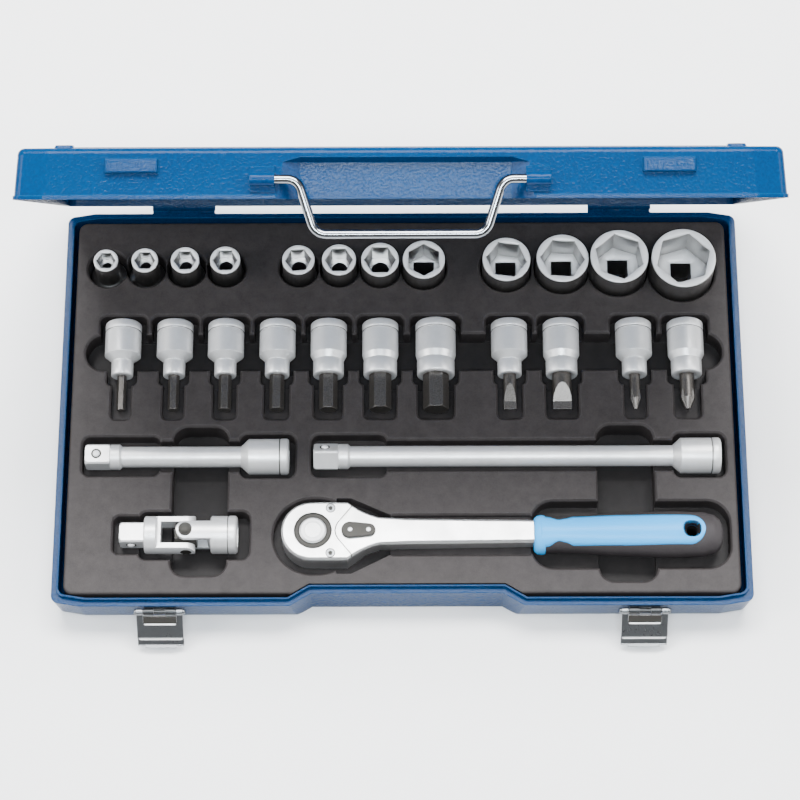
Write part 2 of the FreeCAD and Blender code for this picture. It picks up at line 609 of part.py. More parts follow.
# ---------------------------------------------------------------- sockets
def socket(number):
    """One six-point socket standing on its drive end."""
    key = f"socket_{number}_"
    y = "socket_row - 2" if number == 30 else "socket_row"
    at = (key + "x", y, "socket_base")
    mouth, base, length = key + "mouth / 2", key + "base / 2", key + "length"
    taper = "3"
    low = f"{length} * 0.36" if number < 17 else "15"
    nose = f"{length} - {low} - {taper} - 0.6"
    body = turned([("1", f"{base} - 0.8", base), (f"{low} - 1", base, base), (taper, base, mouth),
                   (nose, mouth, mouth), ("0.6", mouth, f"{mouth} - 0.6")], at, "z")
    top = f"socket_base + {length}"
    depth = key + "depth"
    hexa = hexagon(f"{number} + 0.15", f"{depth} + 1", (at[0], y, f"{top} - {depth}"), "z", SOCKETS[number][5])
    lead = cone(f"{number / 2}", f"{number / 2} * 1.155 + 0.45", f"{number} * 0.05 + 0.45",
                (at[0], y, f"{top} - {number} * 0.05 - 0.44"))
    drive = box((f"{at[0]} - drive_hole / 2", f"{y} - drive_hole / 2", "socket_base - 1"),
                ("drive_hole", "drive_hole", "drive_depth + 1"))
    through = cylinder(f"{number} * 0.33", f"{length}", (at[0], y, "socket_base + 1"))
    if number < 19:
        return cut(body, hexa, lead, drive, through)
    long_drive = box((f"{at[0]} - drive_hole / 2", f"{y} - drive_hole / 2", "socket_base + 1"),
                     ("drive_hole", "drive_hole", f"{length} - 2"))
    return cut(body, hexa, lead, drive, common(long_drive, cylinder(
        "drive_hole", f"{length} - {depth} + 1", (at[0], y, "socket_base"))))


def bit_holder(name):
    """The round body of a bit socket, lying with its drive end to the back."""
    head, nose, x, size = f"{name}_head / 2", f"{name}_nose / 2", f"{name}_x", f"{name}_size"
    at = (x, "bit_back", "lying_height")
    steps = [("0.8", f"{head} - 0.8", head), ("bit_ring_length - 1.4", head, head),
             ("0.6", head, f"{head} - 0.6"), ("0.4", f"{head} - 0.6", head),
             ("bit_head_length - bit_ring_length - 0.4", head, head),
             ("bit_taper_length", head, nose),
             ("bit_back - bit_head_length - bit_taper_length - bit_nose_end - 0.8", nose, nose),
             ("0.8", nose, f"{nose} - 0.8")]
    body = turned(steps, at, "-y")
    drive = box((f"{x} - drive_hole / 2", "bit_back - drive_depth", "lying_height - drive_hole / 2"),
                ("drive_hole", "drive_depth + 1", "drive_hole"))
    bore_at = (x, "bit_nose_end + 14", "lying_height")
    if name.startswith("hex"):
        bore = hexagon(f"{size} + 0.04", "16", bore_at, "-y", 0)
    else:
        bore = cylinder(f"{size} / 2 + 0.02", "16", bore_at, "-y")
    return cut(body, drive, bore)


def hex_bit(name):
    """Hexagon bar with a bevelled tip."""
    x, size = f"{name}_x", f"{name}_size"
    length = "bit_nose_end + 14 - bit_tip"
    bar = hexagon(size, length, (x, "bit_nose_end + 14", "lying_height"), "-y", 0)
    sleeve = turned([(f"{length} - 1", f"{size}", f"{size}"), ("1", f"{size} * 0.59", f"{size} * 0.5")],
                    (x, "bit_nose_end + 14", "lying_height"), "-y")
    return common(bar, sleeve)


def slot_bit(name):
    """Round shank ground to a flat blade, set edge-on as it lies."""
    x, size = f"{name}_x", f"{name}_size"
    shank = turned([("14 + 7", f"{size} / 2", f"{size} / 2"),
                    ("bit_nose_end - bit_tip - 7", f"{size} / 2", f"{size} / 2 - 0.1")],
                   (x, "bit_nose_end + 14", "lying_height"), "-y")
    flats = []
    half = cell(f"{name}_size") / 2
    start, tip = cell("bit_nose_end") - 9, cell("bit_tip")
    for side in (-1, 1):
        z = cell("lying_height")
        edge = [(Vector(cell(x) - 8, start, z + side * half),), (Vector(cell(x) - 8, tip + 5, z + side * 1.3),),
                (Vector(cell(x) - 8, tip - 1, z + side * 0.8),), (Vector(cell(x) - 8, tip - 1, z + side * 9),),
                (Vector(cell(x) - 8, start, z + side * 9),)]
        flats.append(feature(Part.Face(wire(edge)).extrude(Vector(16, 0, 0))))
    return cut(shank, *flats)


def cross_bit(name):
    """Round shank with a pointed tip and four flutes."""
    x, size = f"{name}_x", f"{name}_size"
    radius = f"{size} / 2"
    shank = turned([("14 + 18", radius, radius), ("bit_nose_end - bit_tip - 18", radius, f"{size} * 0.14")],
                   (x, "bit_nose_end + 14", "lying_height"), "-y")
    reach, tip, centre = cell(f"{name}_size"), cell("bit_tip"), cell("lying_height")
    flutes = []
    for k in range(4):
        angle = math.radians(45 + 90 * k)
        away = Vector(math.cos(angle), 0, math.sin(angle))
        side = Vector(-math.sin(angle), 0, math.cos(angle))
        spot = Vector(cell(x), tip - 1, centre)
        near, far = spot + away * (reach * 0.1), spot + away * reach
        run = Vector(0, 13.5, 0)
        base = Part.Face(wire([(near,), (far + side * reach * 0.9,), (far - side * reach * 0.9,)]))
        shift = away * (reach * 0.38)
        top = Part.Wire([e.copy() for e in base.OuterWire.Edges])
        top.translate(run + shift)
        flutes.append(feature(loft(base.OuterWire, top)))
    return cut(shank, *flutes)


# ---------------------------------------------------------------- extension bars and joint
def drive_end(start, row, turned_up=False):
    """A drive square with bevelled corners, its neck and collar, pointing to -X."""
    square = box((start, f"{row} - drive_square / 2", "lying_height - drive_square / 2"),
                 ("drive_length", "drive_square", "drive_square"))
    if turned_up:
        square.Placement = Placement(Vector(), Rotation(Vector(1, 0, 0), 45))
        for letter, text in zip("xyz", (start, row, "lying_height - drive_square / 2 * sqrt(2)")):
            square.setExpression(f"Placement.Base.{letter}", formula(text))
    trim = turned([("1.2", "drive_square * 0.58", "drive_square * 0.655"),
                   ("drive_length - 1.2", "drive_square * 0.655", "drive_square * 0.655")],
                  (start, row, "lying_height"), "x")
    return common(square, trim)


def extension(start, length, turned_up):
    row = "bar_row"
    tip = drive_end(start, row, turned_up)
    head = "24.4"
    steps = [("0.6", "collar_radius - 0.8", "collar_radius"), ("5.4", "collar_radius", "collar_radius"),
             ("1.5", "collar_radius", "shaft_radius"),
             (f"{length} - drive_length - 7.5 - 5 - {head}", "shaft_radius", "shaft_radius"),
             ("5", "shaft_radius", "head_radius"), (f"{head} - 5.4", "head_radius", "head_radius"),
             ("0.5", "head_radius", "head_radius - 0.5"), ("0.4", "head_radius - 0.5", "head_radius"),
             ("3.7", "head_radius", "head_radius"), ("0.8", "head_radius", "head_radius - 0.8")]
    bar = turned(steps, (f"{start} + drive_length", row, "lying_height"), "x")
    hole = box((f"{start} + {length} - drive_depth", f"{row} - drive_hole / 2",
                "lying_height - drive_hole / 2"), ("drive_depth + 1", "drive_hole", "drive_hole"))
    return cut(fuse(tip, bar), hole)


def yoke(disc_start, disc_length, to_left, upright):
    """A disc with two ears that reach over the cross."""
    row, axis, centre = "joint_row", "lying_height", "joint_centre"
    disc = turned([("0.8", "yoke_radius - 0.8", "yoke_radius"),
                   (f"{disc_length} - 1.6", "yoke_radius", "yoke_radius"),
                   ("0.8", "yoke_radius", "yoke_radius - 0.8")], (disc_start, row, axis), "x")
    arm_start = centre if to_left else f"{disc_start} + {disc_length} - 1"
    arm_length = f"{disc_start} + 1 - ({centre})" if to_left else f"{centre} - ({arm_start})"
    envelope = cylinder("yoke_radius", f"{arm_length} + 2 * ear_half",
                        (f"{arm_start} - 2 * ear_half" if to_left else arm_start, row, axis), "x")
    if upright:
        slab = box((arm_start, f"{row} - ear_half", f"{axis} - yoke_radius"),
                   (arm_length, "2 * ear_half", "2 * yoke_radius"))
        round_end = cylinder("ear_half", "2 * yoke_radius", (centre, row, f"{axis} - yoke_radius"))
        gap = box((f"{arm_start} - 12", f"{row} - 12", f"{axis} - ear_gap"),
                  (f"{arm_length} + 12 - 3", "24", "2 * ear_gap"))
        bore = cylinder("cross_bore_radius", "26", (centre, row, f"{axis} - 13"))
    else:
        slab = box((arm_start, f"{row} - yoke_radius", f"{axis} - ear_half"),
                   (arm_length, "2 * yoke_radius", "2 * ear_half"))
        round_end = cylinder("ear_half", "2 * yoke_radius", (centre, f"{row} - yoke_radius", axis), "y")
        gap = box((f"{arm_start} + 3", f"{row} - ear_gap", f"{axis} - 12"),
                  (f"{arm_length} + 12", "2 * ear_gap", "24"))
        bore = cylinder("cross_bore_radius", "26", (centre, f"{row} - 13", axis), "y")
    arms = cut(common(fuse(slab, round_end), envelope), gap)
    return disc, arms, bore


def drive_yoke():
    tip = drive_end("joint_start", "joint_row")
    disc, arms, bore = yoke("joint_start + drive_length", "8", False, False)
    return cut(fuse(tip, disc, arms), bore)


def socket_yoke():
    disc, arms, bore = yoke("joint_end - 16", "16", True, True)
    hole = box(("joint_end - drive_depth + 1.5", "joint_row - drive_hole / 2",
                "lying_height - drive_hole / 2"), ("drive_depth + 1", "drive_hole", "drive_hole"))
    return cut(fuse(disc, arms), bore, hole)


def cross_block():
    """The cube between the yokes, with its four journals."""
    low = ("joint_centre - cross_half", "joint_row - cross_half", "lying_height - cross_half")
    cube = box(low, ("2 * cross_half", "2 * cross_half", "2 * cross_half"))
    trim = cylinder("cross_half * 1.2", "30", ("joint_centre - 15", "joint_row", "lying_height"), "x")
    upright = cylinder("cross_pin_radius", "2 * (yoke_radius - 0.4)",
                       ("joint_centre", "joint_row", "lying_height - yoke_radius + 0.4"))
    level = cylinder("cross_pin_radius", "2 * (yoke_radius - 0.4)",
                     ("joint_centre", "joint_row - yoke_radius + 0.4", "lying_height"), "y")
    return fuse(common(cube, trim), upright, level)


# ---------------------------------------------------------------- ratchet
RX, RY = cell("ratchet_x"), cell("ratchet_row")
RTOP = cell("ratchet_top")
RLOW = RTOP - cell("ratchet_head_depth")


def head_outline(z, shrink=0.0):
    """The ratchet head and the start of its neck, seen from above."""
    half, left, right = cell("ratchet_head_half"), cell("ratchet_head_left"), cell("ratchet_head_right")
    neck, start = cell("neck_half"), cell("neck_start")
    half, left, neck = half - shrink, left - shrink, neck - shrink

    def at(x, y):
        return Vector(RX + x, RY + y, z)

    middle, waist = (right + start) / 2, (half + neck) / 2 - cell("neck_hollow")
    arc = (at(-1, half), at(-left, 0), at(-1, -half))
    low = (at(right, -half), at(middle, -waist), at(start, -neck))
    high = (at(start, neck), at(middle, waist), at(right, half))
    return wire([arc, low, high])


def cover_outline(z, gap=0.0):
    """The cover plate: the round of the head, ended by a blunt V towards the handle."""
    half, left = cell("ratchet_head_half") + 1, cell("ratchet_head_left") + 1

    def at(x, y):
        return Vector(RX + x + gap, RY + y, z)

    arc = (at(-1, half), at(-left - 4, 0), at(-1, -half))
    return wire([arc, (at(23.5, -half),), (at(23.5, -15.5),), (at(15.0, -5.0), at(13.4, 0), at(15.0, 5.0)),
                 (at(23.5, 15.5),), (at(23.5, half),)])


def ratchet_solids():
    """Head and neck as one forging, before the cover, the gear and the lever are let in."""
    bevel = 1.2
    head = loft(head_outline(RLOW, bevel), head_outline(RLOW + bevel))
    head = head.fuse(Part.Face(head_outline(RLOW + bevel)).extrude(Vector(0, 0, RTOP - RLOW - 2 * bevel)))
    head = head.fuse(loft(head_outline(RTOP - bevel), head_outline(RTOP, bevel)))
    cut_low = Part.Face(wire([(Vector(RX + x, RY - 30, z),) for x, z in
                              ((24, RLOW - 1), (70, RLOW - 1), (70, cell("neck_bottom")), (31, cell("neck_bottom")))]))
    head = head.cut(cut_low.extrude(Vector(0, 60, 0)))
    start, end = cell("neck_start") - 0.5, cell("shank_end")
    low, high = cell("neck_bottom"), cell("neck_top")

    def section(x, half, bottom, top, bevel=1.6):
        points = [(-half, bottom + bevel), (-half + bevel, bottom), (half - bevel, bottom), (half, bottom + bevel),
                  (half, top - bevel), (half - bevel, top), (-half + bevel, top), (-half, top - bevel)]
        return wire([(Vector(RX + x, RY + y, z),) for y, z in points])

    neck = loft(section(start, cell("neck_half"), low, RTOP, 1.2),
                section(start + 18, cell("neck_half") - 0.6, low, high),
                section(end, cell("shank_half"), low + 0.5, high - 0.5))
    tang = Part.makeCylinder(cell("tang_radius"), cell("tang_end") - end + 0.5,
                             Vector(RX + end - 0.5, RY, cell("grip_middle") + 1), Vector(1, 0, 0))
    return head.fuse([neck, tang]).removeSplitter()


def ratchet_parts():
    """The forging with its openings, and the cover plate cut from the same block."""
    block = ratchet_solids()
    cover_low = RTOP - cell("cover_depth")
    chamber_low = cover_low - cell("gear_depth")
    plug = Part.Face(cover_outline(cover_low)).extrude(Vector(0, 0, 10))
    plug_gap = Part.Face(cover_outline(cover_low, 0.25)).extrude(Vector(0, 0, 10))
    axis = Vector(0, 0, 1)
    cover = block.common(plug)
    opening = Part.makeCylinder(cell("ring_radius") + 0.2, 12, Vector(RX, RY, cover_low - 1), axis)
    cover = cover.cut(opening)
    chamber = Part.makeCylinder(cell("gear_radius") + 0.3, cover_low - chamber_low + 0.01,
                                Vector(RX, RY, chamber_low), axis)
    pawl_room = Part.makeBox(14, 11, cover_low - chamber_low + 0.01, Vector(RX + 9, RY - 5.5, chamber_low))
    bore = Part.makeCylinder(10.3, 30, Vector(RX, RY, RLOW - 5), axis)
    stem = Part.makeCylinder(2.1, 20, Vector(RX + cell("lever_x"), RY, chamber_low + 1), axis)
    forging = block.cut([plug_gap, chamber, pawl_room, bore, stem])
    screws = []
    for side in (-1, 1):
        spot = Vector(RX + cell("screw_x"), RY + side * cell("screw_y"), 0)
        seat = Part.makeCylinder(cell("screw_radius") + 0.05, 3, spot + Vector(0, 0, RTOP - 1.2), axis)
        hole = Part.makeCylinder(1.35, 9, spot + Vector(0, 0, RTOP - 8), axis)
        cover = cover.cut([seat, hole])
        forging = forging.cut(hole)
        head = Part.makeCylinder(cell("screw_radius"), 1.2, spot + Vector(0, 0, RTOP - 1.2), axis)
        shank = Part.makeCylinder(1.3, 6.5, spot + Vector(0, 0, RTOP - 7.5), axis)
        key = feature_hex(spot + Vector(0, 0, RTOP - 1.0), 1.5, 2)
        screws.append(feature(head.fuse(shank).cut(key)))
    return feature(forging), feature(cover), group(*screws)


def feature_hex(at, radius, height):
    """A small hexagonal hole as a solid."""
    points = [(at + Vector(radius * math.cos(math.radians(60 * k)), radius * math.sin(math.radians(60 * k)), 0),)
              for k in range(6)]
    return Part.Face(wire(points)).extrude(Vector(0, 0, height))


def drive_spindle():
    """Toothed gear with its visible ring and disc above and the drive square below."""
    cover_low = RTOP - cell("cover_depth")
    chamber_low = cover_low - cell("gear_depth")
    axis = Vector(0, 0, 1)
    teeth = 36
    outer, inner = cell("gear_radius") - 0.1, cell("gear_radius") - 1.0
    points = []
    for k in range(teeth):
        for step, radius in ((0.0, outer), (0.5, inner)):
            angle = 2 * math.pi * (k + step) / teeth
            points.append((Vector(RX + radius * math.cos(angle), RY + radius * math.sin(angle), chamber_low + 0.2),))
    gear = Part.Face(wire(points)).extrude(Vector(0, 0, cell("gear_depth") - 0.4))
    boss = Part.makeCylinder(cell("ring_radius"), RTOP - 0.6 - cover_low + 0.4,
                             Vector(RX, RY, cover_low - 0.4), axis)
    groove = Part.makeCylinder(cell("ring_radius") - 1.2, 5, Vector(RX, RY, RTOP - 1.0), axis)
    disc = Part.makeCylinder(cell("disc_radius"), 1.6, Vector(RX, RY, RTOP - 1.4), axis)
    dome = Part.makeCone(cell("disc_radius"), cell("disc_radius") - 1.2, 0.8, Vector(RX, RY, RTOP + 0.2), axis)
    collar = Part.makeCylinder(10.0, chamber_low + 0.4 - RLOW + 1.5, Vector(RX, RY, RLOW - 1.5), axis)
    side = cell("drive_square")
    square = Part.makeBox(side, side, 14.5, Vector(RX - side / 2, RY - side / 2, RLOW - 14.8))
    trim = Part.makeCylinder(side * 0.655, 13.5, Vector(RX, RY, RLOW - 13.6), axis)
    trim = trim.fuse(Part.makeCone(side * 0.58, side * 0.655, 1.2, Vector(RX, RY, RLOW - 14.8), axis))
    shape = gear.fuse([boss.cut(groove), disc, dome, collar, square.common(trim)])
    return feature(shape.removeSplitter())


def ratchet_pawl():
    """Rocking pawl beside the gear, on the lever's stem."""
    low = RTOP - cell("cover_depth") - cell("gear_depth") + 0.3
    x = RX + cell("gear_radius") + 0.4
    body = [(x, RY - 4.8), (x + 2.2, RY - 2.2), (x + 2.2, RY + 2.2), (x, RY + 4.8), (x + 6.5, RY + 4.2),
            (x + 6.5, RY - 4.2)]
    return feature(Part.Face(wire([(Vector(px, py, low),) for px, py in body])).extrude(Vector(0, 0, 6.5)))


def reversing_lever():
    """Egg-shaped lever on its stem, lying on the neck."""
    x0, r0 = RX + cell("lever_x"), cell("lever_radius")
    x1, r1 = x0 + cell("lever_tip") - cell("lever_tip_radius"), cell("lever_tip_radius")
    z = RTOP + 0.15
    lean = math.asin((r0 - r1) / (x1 - x0))
    sin, cos = math.sin(lean), math.cos(lean)

    def at(x, y):
        return Vector(x, RY + y, z)

    outline = wire([(at(x0 + r0 * sin, r0 * cos), at(x0 - r0, 0), at(x0 + r0 * sin, -r0 * cos)),
                    (at(x1 + r1 * sin, -r1 * cos), at(x1 + r1, 0), at(x1 + r1 * sin, r1 * cos))])
    plate = Part.Face(outline).extrude(Vector(0, 0, cell("lever_depth")))
    plate = soften(plate, 0.7, z + cell("lever_depth"))
    stem = Part.makeCylinder(2.0, 8, Vector(x0, RY, z - 8), Vector(0, 0, 1))
    dimples = [Part.makeSphere(1.6, at(x, 0) + Vector(0, 0, cell("lever_depth") + 0.9)) for x in (x0, x1)]
    return feature(plate.fuse(stem).cut(dimples))


def grip_pieces():
    """Two-part grip: a hard core and two soft side pads, lofted along the handle."""
    start, end, z = RX + cell("grip_start"), RX + cell("grip_end"), cell("grip_middle")
    length = end - start
    # place along the grip, half width, half height
    stations = [(0.0, 10.6, 10.0), (0.03, 11.8, 10.8), (0.2, 11.4, 10.8), (0.45, 12.8, 11.8),
                (0.72, 14.4, 12.6), (0.9, 13.8, 12.0), (0.97, 11.6, 10.2), (1.0, 8.6, 7.6)]
    sections = []
    for part, wide, high in stations:
        ring = Part.Wire(Part.makeCircle(1, Vector(), Vector(1, 0, 0)))
        stretch = FreeCAD.Matrix()
        stretch.scale(Vector(1, wide, high))
        stretch.move(Vector(start + part * length, RY, z))
        sections.append(ring.transformGeometry(stretch))
    full = Part.makeLoft(sections, True, False)
    bore = Part.makeCylinder(cell("tang_radius") + 0.02, cell("tang_end") - cell("grip_start") + 1,
                             Vector(start - 1, RY, z + 1), Vector(1, 0, 0))
    hang = Part.makeCylinder(3.6, 40, Vector(RX + 229.6, RY, 5), Vector(0, 0, 1))
    slot = Part.makeBox(3, 7.2, 40, Vector(RX + 228.1, RY - 3.6, 5))
    full = full.cut([bore, hang, slot])
    half = cell("grip_core_half")
    sides = [Part.makeBox(length + 20, 30, 60, Vector(start - 10, RY + y, z - 30)) for y in (half, -half - 30)]
    core = full.cut(sides)
    pads = [feature(full.common(side)) for side in sides]
    return feature(core), group(*pads)


# ---------------------------------------------------------------- assembly
node("tray_shell", tray_shell())
node("tool_insert", tool_insert())
node("tray_hinge_leaves", hinge_leaves(False))
node("hinge_pins", hinge_pins())
node("latch_brackets", latch_brackets())
node("latch_pins", latch_pins())
node("latch_rivets", latch_rivets())
node("latch_left", latch_plate(-cell("latch_span")))
node("latch_right", latch_plate(cell("latch_span")))
for name, item in (("lid_shell", lid_shell()), ("lid_hinge_leaves", hinge_leaves(True)),
                   ("carry_handle", carry_handle()), ("handle_brackets", handle_brackets())):
    item.Placement = OPEN
    node(name, item)
for number in SOCKETS:
    node(f"socket_{number}", socket(number))
MAKE_BIT = {"hex": hex_bit, "slot": slot_bit, "cross": cross_bit}
for name in BITS:
    node(f"holder_{name}", bit_holder(name))
    node(f"bit_{name}", MAKE_BIT[name.split("_")[0]](name))
node("extension_short", extension("short_bar_start", "short_bar_length", False))
node("extension_long", extension("long_bar_start", "long_bar_length", True))
node("joint_drive_yoke", drive_yoke())
node("joint_cross", cross_block())
node("joint_socket_yoke", socket_yoke())
forging, cover, screws = ratchet_parts()
node("ratchet_body", forging)
node("ratchet_cover", cover)
node("ratchet_screws", screws)
node("ratchet_drive", drive_spindle())
node("ratchet_pawl", ratchet_pawl())
node("ratchet_lever", reversing_lever())
grip_core, grip_pads = grip_pieces()
node("grip_core", grip_core)
node("grip_pads", grip_pads)

doc.recompute()
for item in doc.Objects:
    if {"Invalid", "Error"} & set(item.State):
        raise SystemExit(f"{item.Name} ({item.Label}) failed: {item.State}")
for name, item in NODES.items():
    if item.Shape.isNull() or not item.Shape.isValid() or not item.Shape.Solids:
        raise SystemExit(f"{name} is not a valid solid")

os.makedirs("parts", exist_ok=True)
for name, item in NODES.items():
    item.Shape.exportStep(f"parts/{name}.step")
    print(f"{name}: {len(item.Shape.Solids)} solid(s), {item.Shape.Volume:.0f} mm3")
print(f"{len(NODES)} nodes")
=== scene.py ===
"""Looks for the socket wrench set: finishes on every CAD node, small added details, light and camera."""

import math

import bmesh
import bpy
from mathutils import Matrix, Vector


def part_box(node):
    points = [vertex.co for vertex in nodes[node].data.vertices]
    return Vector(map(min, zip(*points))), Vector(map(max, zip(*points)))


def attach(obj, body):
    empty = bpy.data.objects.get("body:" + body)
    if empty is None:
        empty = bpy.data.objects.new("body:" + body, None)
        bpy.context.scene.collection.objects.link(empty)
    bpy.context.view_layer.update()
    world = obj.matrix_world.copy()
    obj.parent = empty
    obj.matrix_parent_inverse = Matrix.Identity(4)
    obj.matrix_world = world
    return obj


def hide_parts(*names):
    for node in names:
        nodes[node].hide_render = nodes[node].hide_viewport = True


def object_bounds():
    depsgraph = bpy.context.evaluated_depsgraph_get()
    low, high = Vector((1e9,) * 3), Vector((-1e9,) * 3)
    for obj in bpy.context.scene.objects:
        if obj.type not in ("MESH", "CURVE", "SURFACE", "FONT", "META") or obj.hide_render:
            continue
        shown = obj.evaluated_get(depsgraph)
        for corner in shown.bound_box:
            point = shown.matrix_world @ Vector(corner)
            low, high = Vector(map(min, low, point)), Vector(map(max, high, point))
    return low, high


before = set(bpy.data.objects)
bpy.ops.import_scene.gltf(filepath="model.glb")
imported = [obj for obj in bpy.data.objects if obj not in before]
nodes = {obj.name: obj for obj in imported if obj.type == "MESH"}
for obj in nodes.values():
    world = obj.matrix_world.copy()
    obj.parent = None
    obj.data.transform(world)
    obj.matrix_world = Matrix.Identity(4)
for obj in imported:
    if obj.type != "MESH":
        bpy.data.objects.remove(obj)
cad_box = [list(corner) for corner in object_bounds()]
MM = 0.001


# ---------------------------------------------------------------- node helpers
class Finish:
    """A material under construction: a Principled shader and helpers that chain nodes to it."""

    def __init__(self, name, color, roughness, metallic=0.0, **sockets):
        self.material = bpy.data.materials.new(name)
        self.material.use_nodes = True
        self.tree = self.material.node_tree
        self.shader = self.tree.nodes["Principled BSDF"]
        self.shader.inputs["Base Color"].default_value = (*color, 1)
        self.shader.inputs["Roughness"].default_value = roughness
        self.shader.inputs["Metallic"].default_value = metallic
        for key, value in sockets.items():
            self.shader.inputs[key.replace("_", " ")].default_value = value
        self.place = self.add("ShaderNodeTexCoord").outputs["Object"]
        self.normal = None

    def add(self, kind, **values):
        node = self.tree.nodes.new(kind)
        for key, value in values.items():
            setattr(node, key, value)
        return node

    def link(self, source, target):
        self.tree.links.new(source, target)

    def stretch(self, x, y, z):
        """Object coordinates scaled per axis, for grain that runs one way."""
        node = self.add("ShaderNodeMapping")
        node.inputs["Scale"].default_value = (x, y, z)
        self.link(self.place, node.inputs["Vector"])
        return node.outputs["Vector"]

    def noise(self, scale, detail=2.0, roughness=0.5, vector=None):
        node = self.add("ShaderNodeTexNoise")
        node.inputs["Scale"].default_value = scale
        node.inputs["Detail"].default_value = detail
        node.inputs["Roughness"].default_value = roughness
        self.link(vector or self.place, node.inputs["Vector"])
        return node.outputs["Fac"]

    def cells(self, scale, feature="SMOOTH_F1"):
        node = self.add("ShaderNodeTexVoronoi", feature=feature)
        node.inputs["Scale"].default_value = scale
        self.link(self.place, node.inputs["Vector"])
        return node.outputs["Distance"]

    def ramp(self, factor, *stops):
        """Stops are (position, colour or grey)."""
        node = self.add("ShaderNodeValToRGB")
        band = node.color_ramp
        while len(band.elements) < len(stops):
            band.elements.new(0.5)
        for element, (position, tone) in zip(band.elements, stops):
            element.position = position
            element.color = (*tone, 1) if isinstance(tone, tuple) else (tone, tone, tone, 1)
        self.link(factor, node.inputs["Fac"])
        return node.outputs["Color"]

    def maths(self, operation, first, second):
        node = self.add("ShaderNodeMath", operation=operation)
        for socket, value in zip(node.inputs, (first, second)):
            if isinstance(value, (int, float)):
                socket.default_value = value
            else:
                self.link(value, socket)
        return node.outputs["Value"]

    def mix(self, factor, first, second, blend="MIX"):
        node = self.add("ShaderNodeMix", data_type="RGBA", blend_type=blend)
        if isinstance(factor, (int, float)):
            node.inputs["Factor"].default_value = factor
        else:
            self.link(factor, node.inputs["Factor"])
        for socket, value in zip((node.inputs["A"], node.inputs["B"]), (first, second)):
            if isinstance(value, tuple):
                socket.default_value = (*value, 1)
            else:
                self.link(value, socket)
        return node.outputs["Result"]

    def soft_edges(self, radius):
        """Rounds the shading of sharp edges and returns a mask, white on edges and black on flats."""
        node = self.add("ShaderNodeBevel", samples=3)
        node.inputs["Radius"].default_value = radius
        self.normal = node.outputs["Normal"]
        dot = self.add("ShaderNodeVectorMath", operation="DOT_PRODUCT")
        self.link(node.outputs["Normal"], dot.inputs[0])
        self.link(self.add("ShaderNodeNewGeometry").outputs["Normal"], dot.inputs[1])
        return self.ramp(dot.outputs["Value"], (0.80, 1.0), (0.985, 0.0))

    def bump(self, height, distance, strength=1.0):
        node = self.add("ShaderNodeBump")
        node.inputs["Strength"].default_value = strength
        node.inputs["Distance"].default_value = distance
        self.link(height, node.inputs["Height"])
        if self.normal is not None:
            self.link(self.normal, node.inputs["Normal"])
        self.normal = node.outputs["Normal"]
        return self

    def drive(self, **inputs):
        for key, value in inputs.items():
            self.link(value, self.shader.inputs[key.replace("_", " ")])
        return self

    def done(self):
        if self.normal is not None:
            self.link(self.normal, self.shader.inputs["Normal"])
        return self.material


# ---------------------------------------------------------------- finishes
def hammered_enamel():
    """Blue hammer-finish enamel: shallow dimples that break up the gloss, with pale edges painted on as a
    highlight.
    """
    f = Finish("hammered_enamel", (0.0, 0.026, 0.09), 0.24, 0.0, Specular_IOR_Level=0.09)
    cells = f.cells(800)
    fine = f.noise(1500, 3, 0.6)
    broad = f.noise(14, 2)
    tone = f.ramp(cells, (0.1, (0.0, 0.020, 0.072)), (0.75, (0.0, 0.030, 0.105)))
    tone = f.mix(f.ramp(broad, (0.35, 0.0), (0.75, 0.3)), tone, (0.0, 0.036, 0.115))
    # pale blue edges: a painted highlight along the rims and folds
    painted_edge_highlight = f.soft_edges(0.0009)
    tone = f.mix(f.maths("MULTIPLY", painted_edge_highlight, 0.22), tone, (0.01, 0.17, 0.42))
    f.bump(cells, 0.0003, 0.4).bump(fine, 0.00012, 0.4)
    f.drive(Base_Color=tone, Roughness=f.ramp(fine, (0.3, 0.14), (0.7, 0.26)))
    return f.done()


def moulded_sheet():
    """Vacuum-formed dark grey sheet with a fine leathery tooth, pale edges painted on as a highlight, and
    painted shade that darkens it towards the bottom of its wells.
    """
    f = Finish("moulded_sheet", (0.045, 0.043, 0.045), 0.55, 0.0, Specular_IOR_Level=0.22)
    grain = f.noise(1300, 4, 0.7)
    mottle = f.noise(160, 3, 0.65)
    tone = f.ramp(mottle, (0.3, (0.0190, 0.0162, 0.0162)), (0.75, (0.0345, 0.0298, 0.0298)))
    tone = f.mix(f.ramp(grain, (0.35, 0.0), (0.7, 0.5)), tone, (0.044, 0.0385, 0.0380))
    # pale edges: a painted highlight on the pocket rims
    tone = f.mix(f.maths("MULTIPLY", f.soft_edges(0.0012), 0.35), tone, (0.12, 0.11, 0.115))
    # painted shade: the lower the surface lies, the darker it is painted, down to near black in the wells
    split = f.add("ShaderNodeSeparateXYZ")
    f.link(f.place, split.inputs["Vector"])
    depth = f.ramp(f.maths("MULTIPLY", split.outputs["Z"], 30), (0.35, 1.0), (0.8, 0.0))
    tone = f.mix(f.maths("MULTIPLY", depth, 0.65), tone, (0.004, 0.0035, 0.0035))
    f.bump(grain, 0.00025, 0.45)
    f.drive(Base_Color=tone, Roughness=f.ramp(grain, (0.3, 0.46), (0.7, 0.64)))
    return f.done()


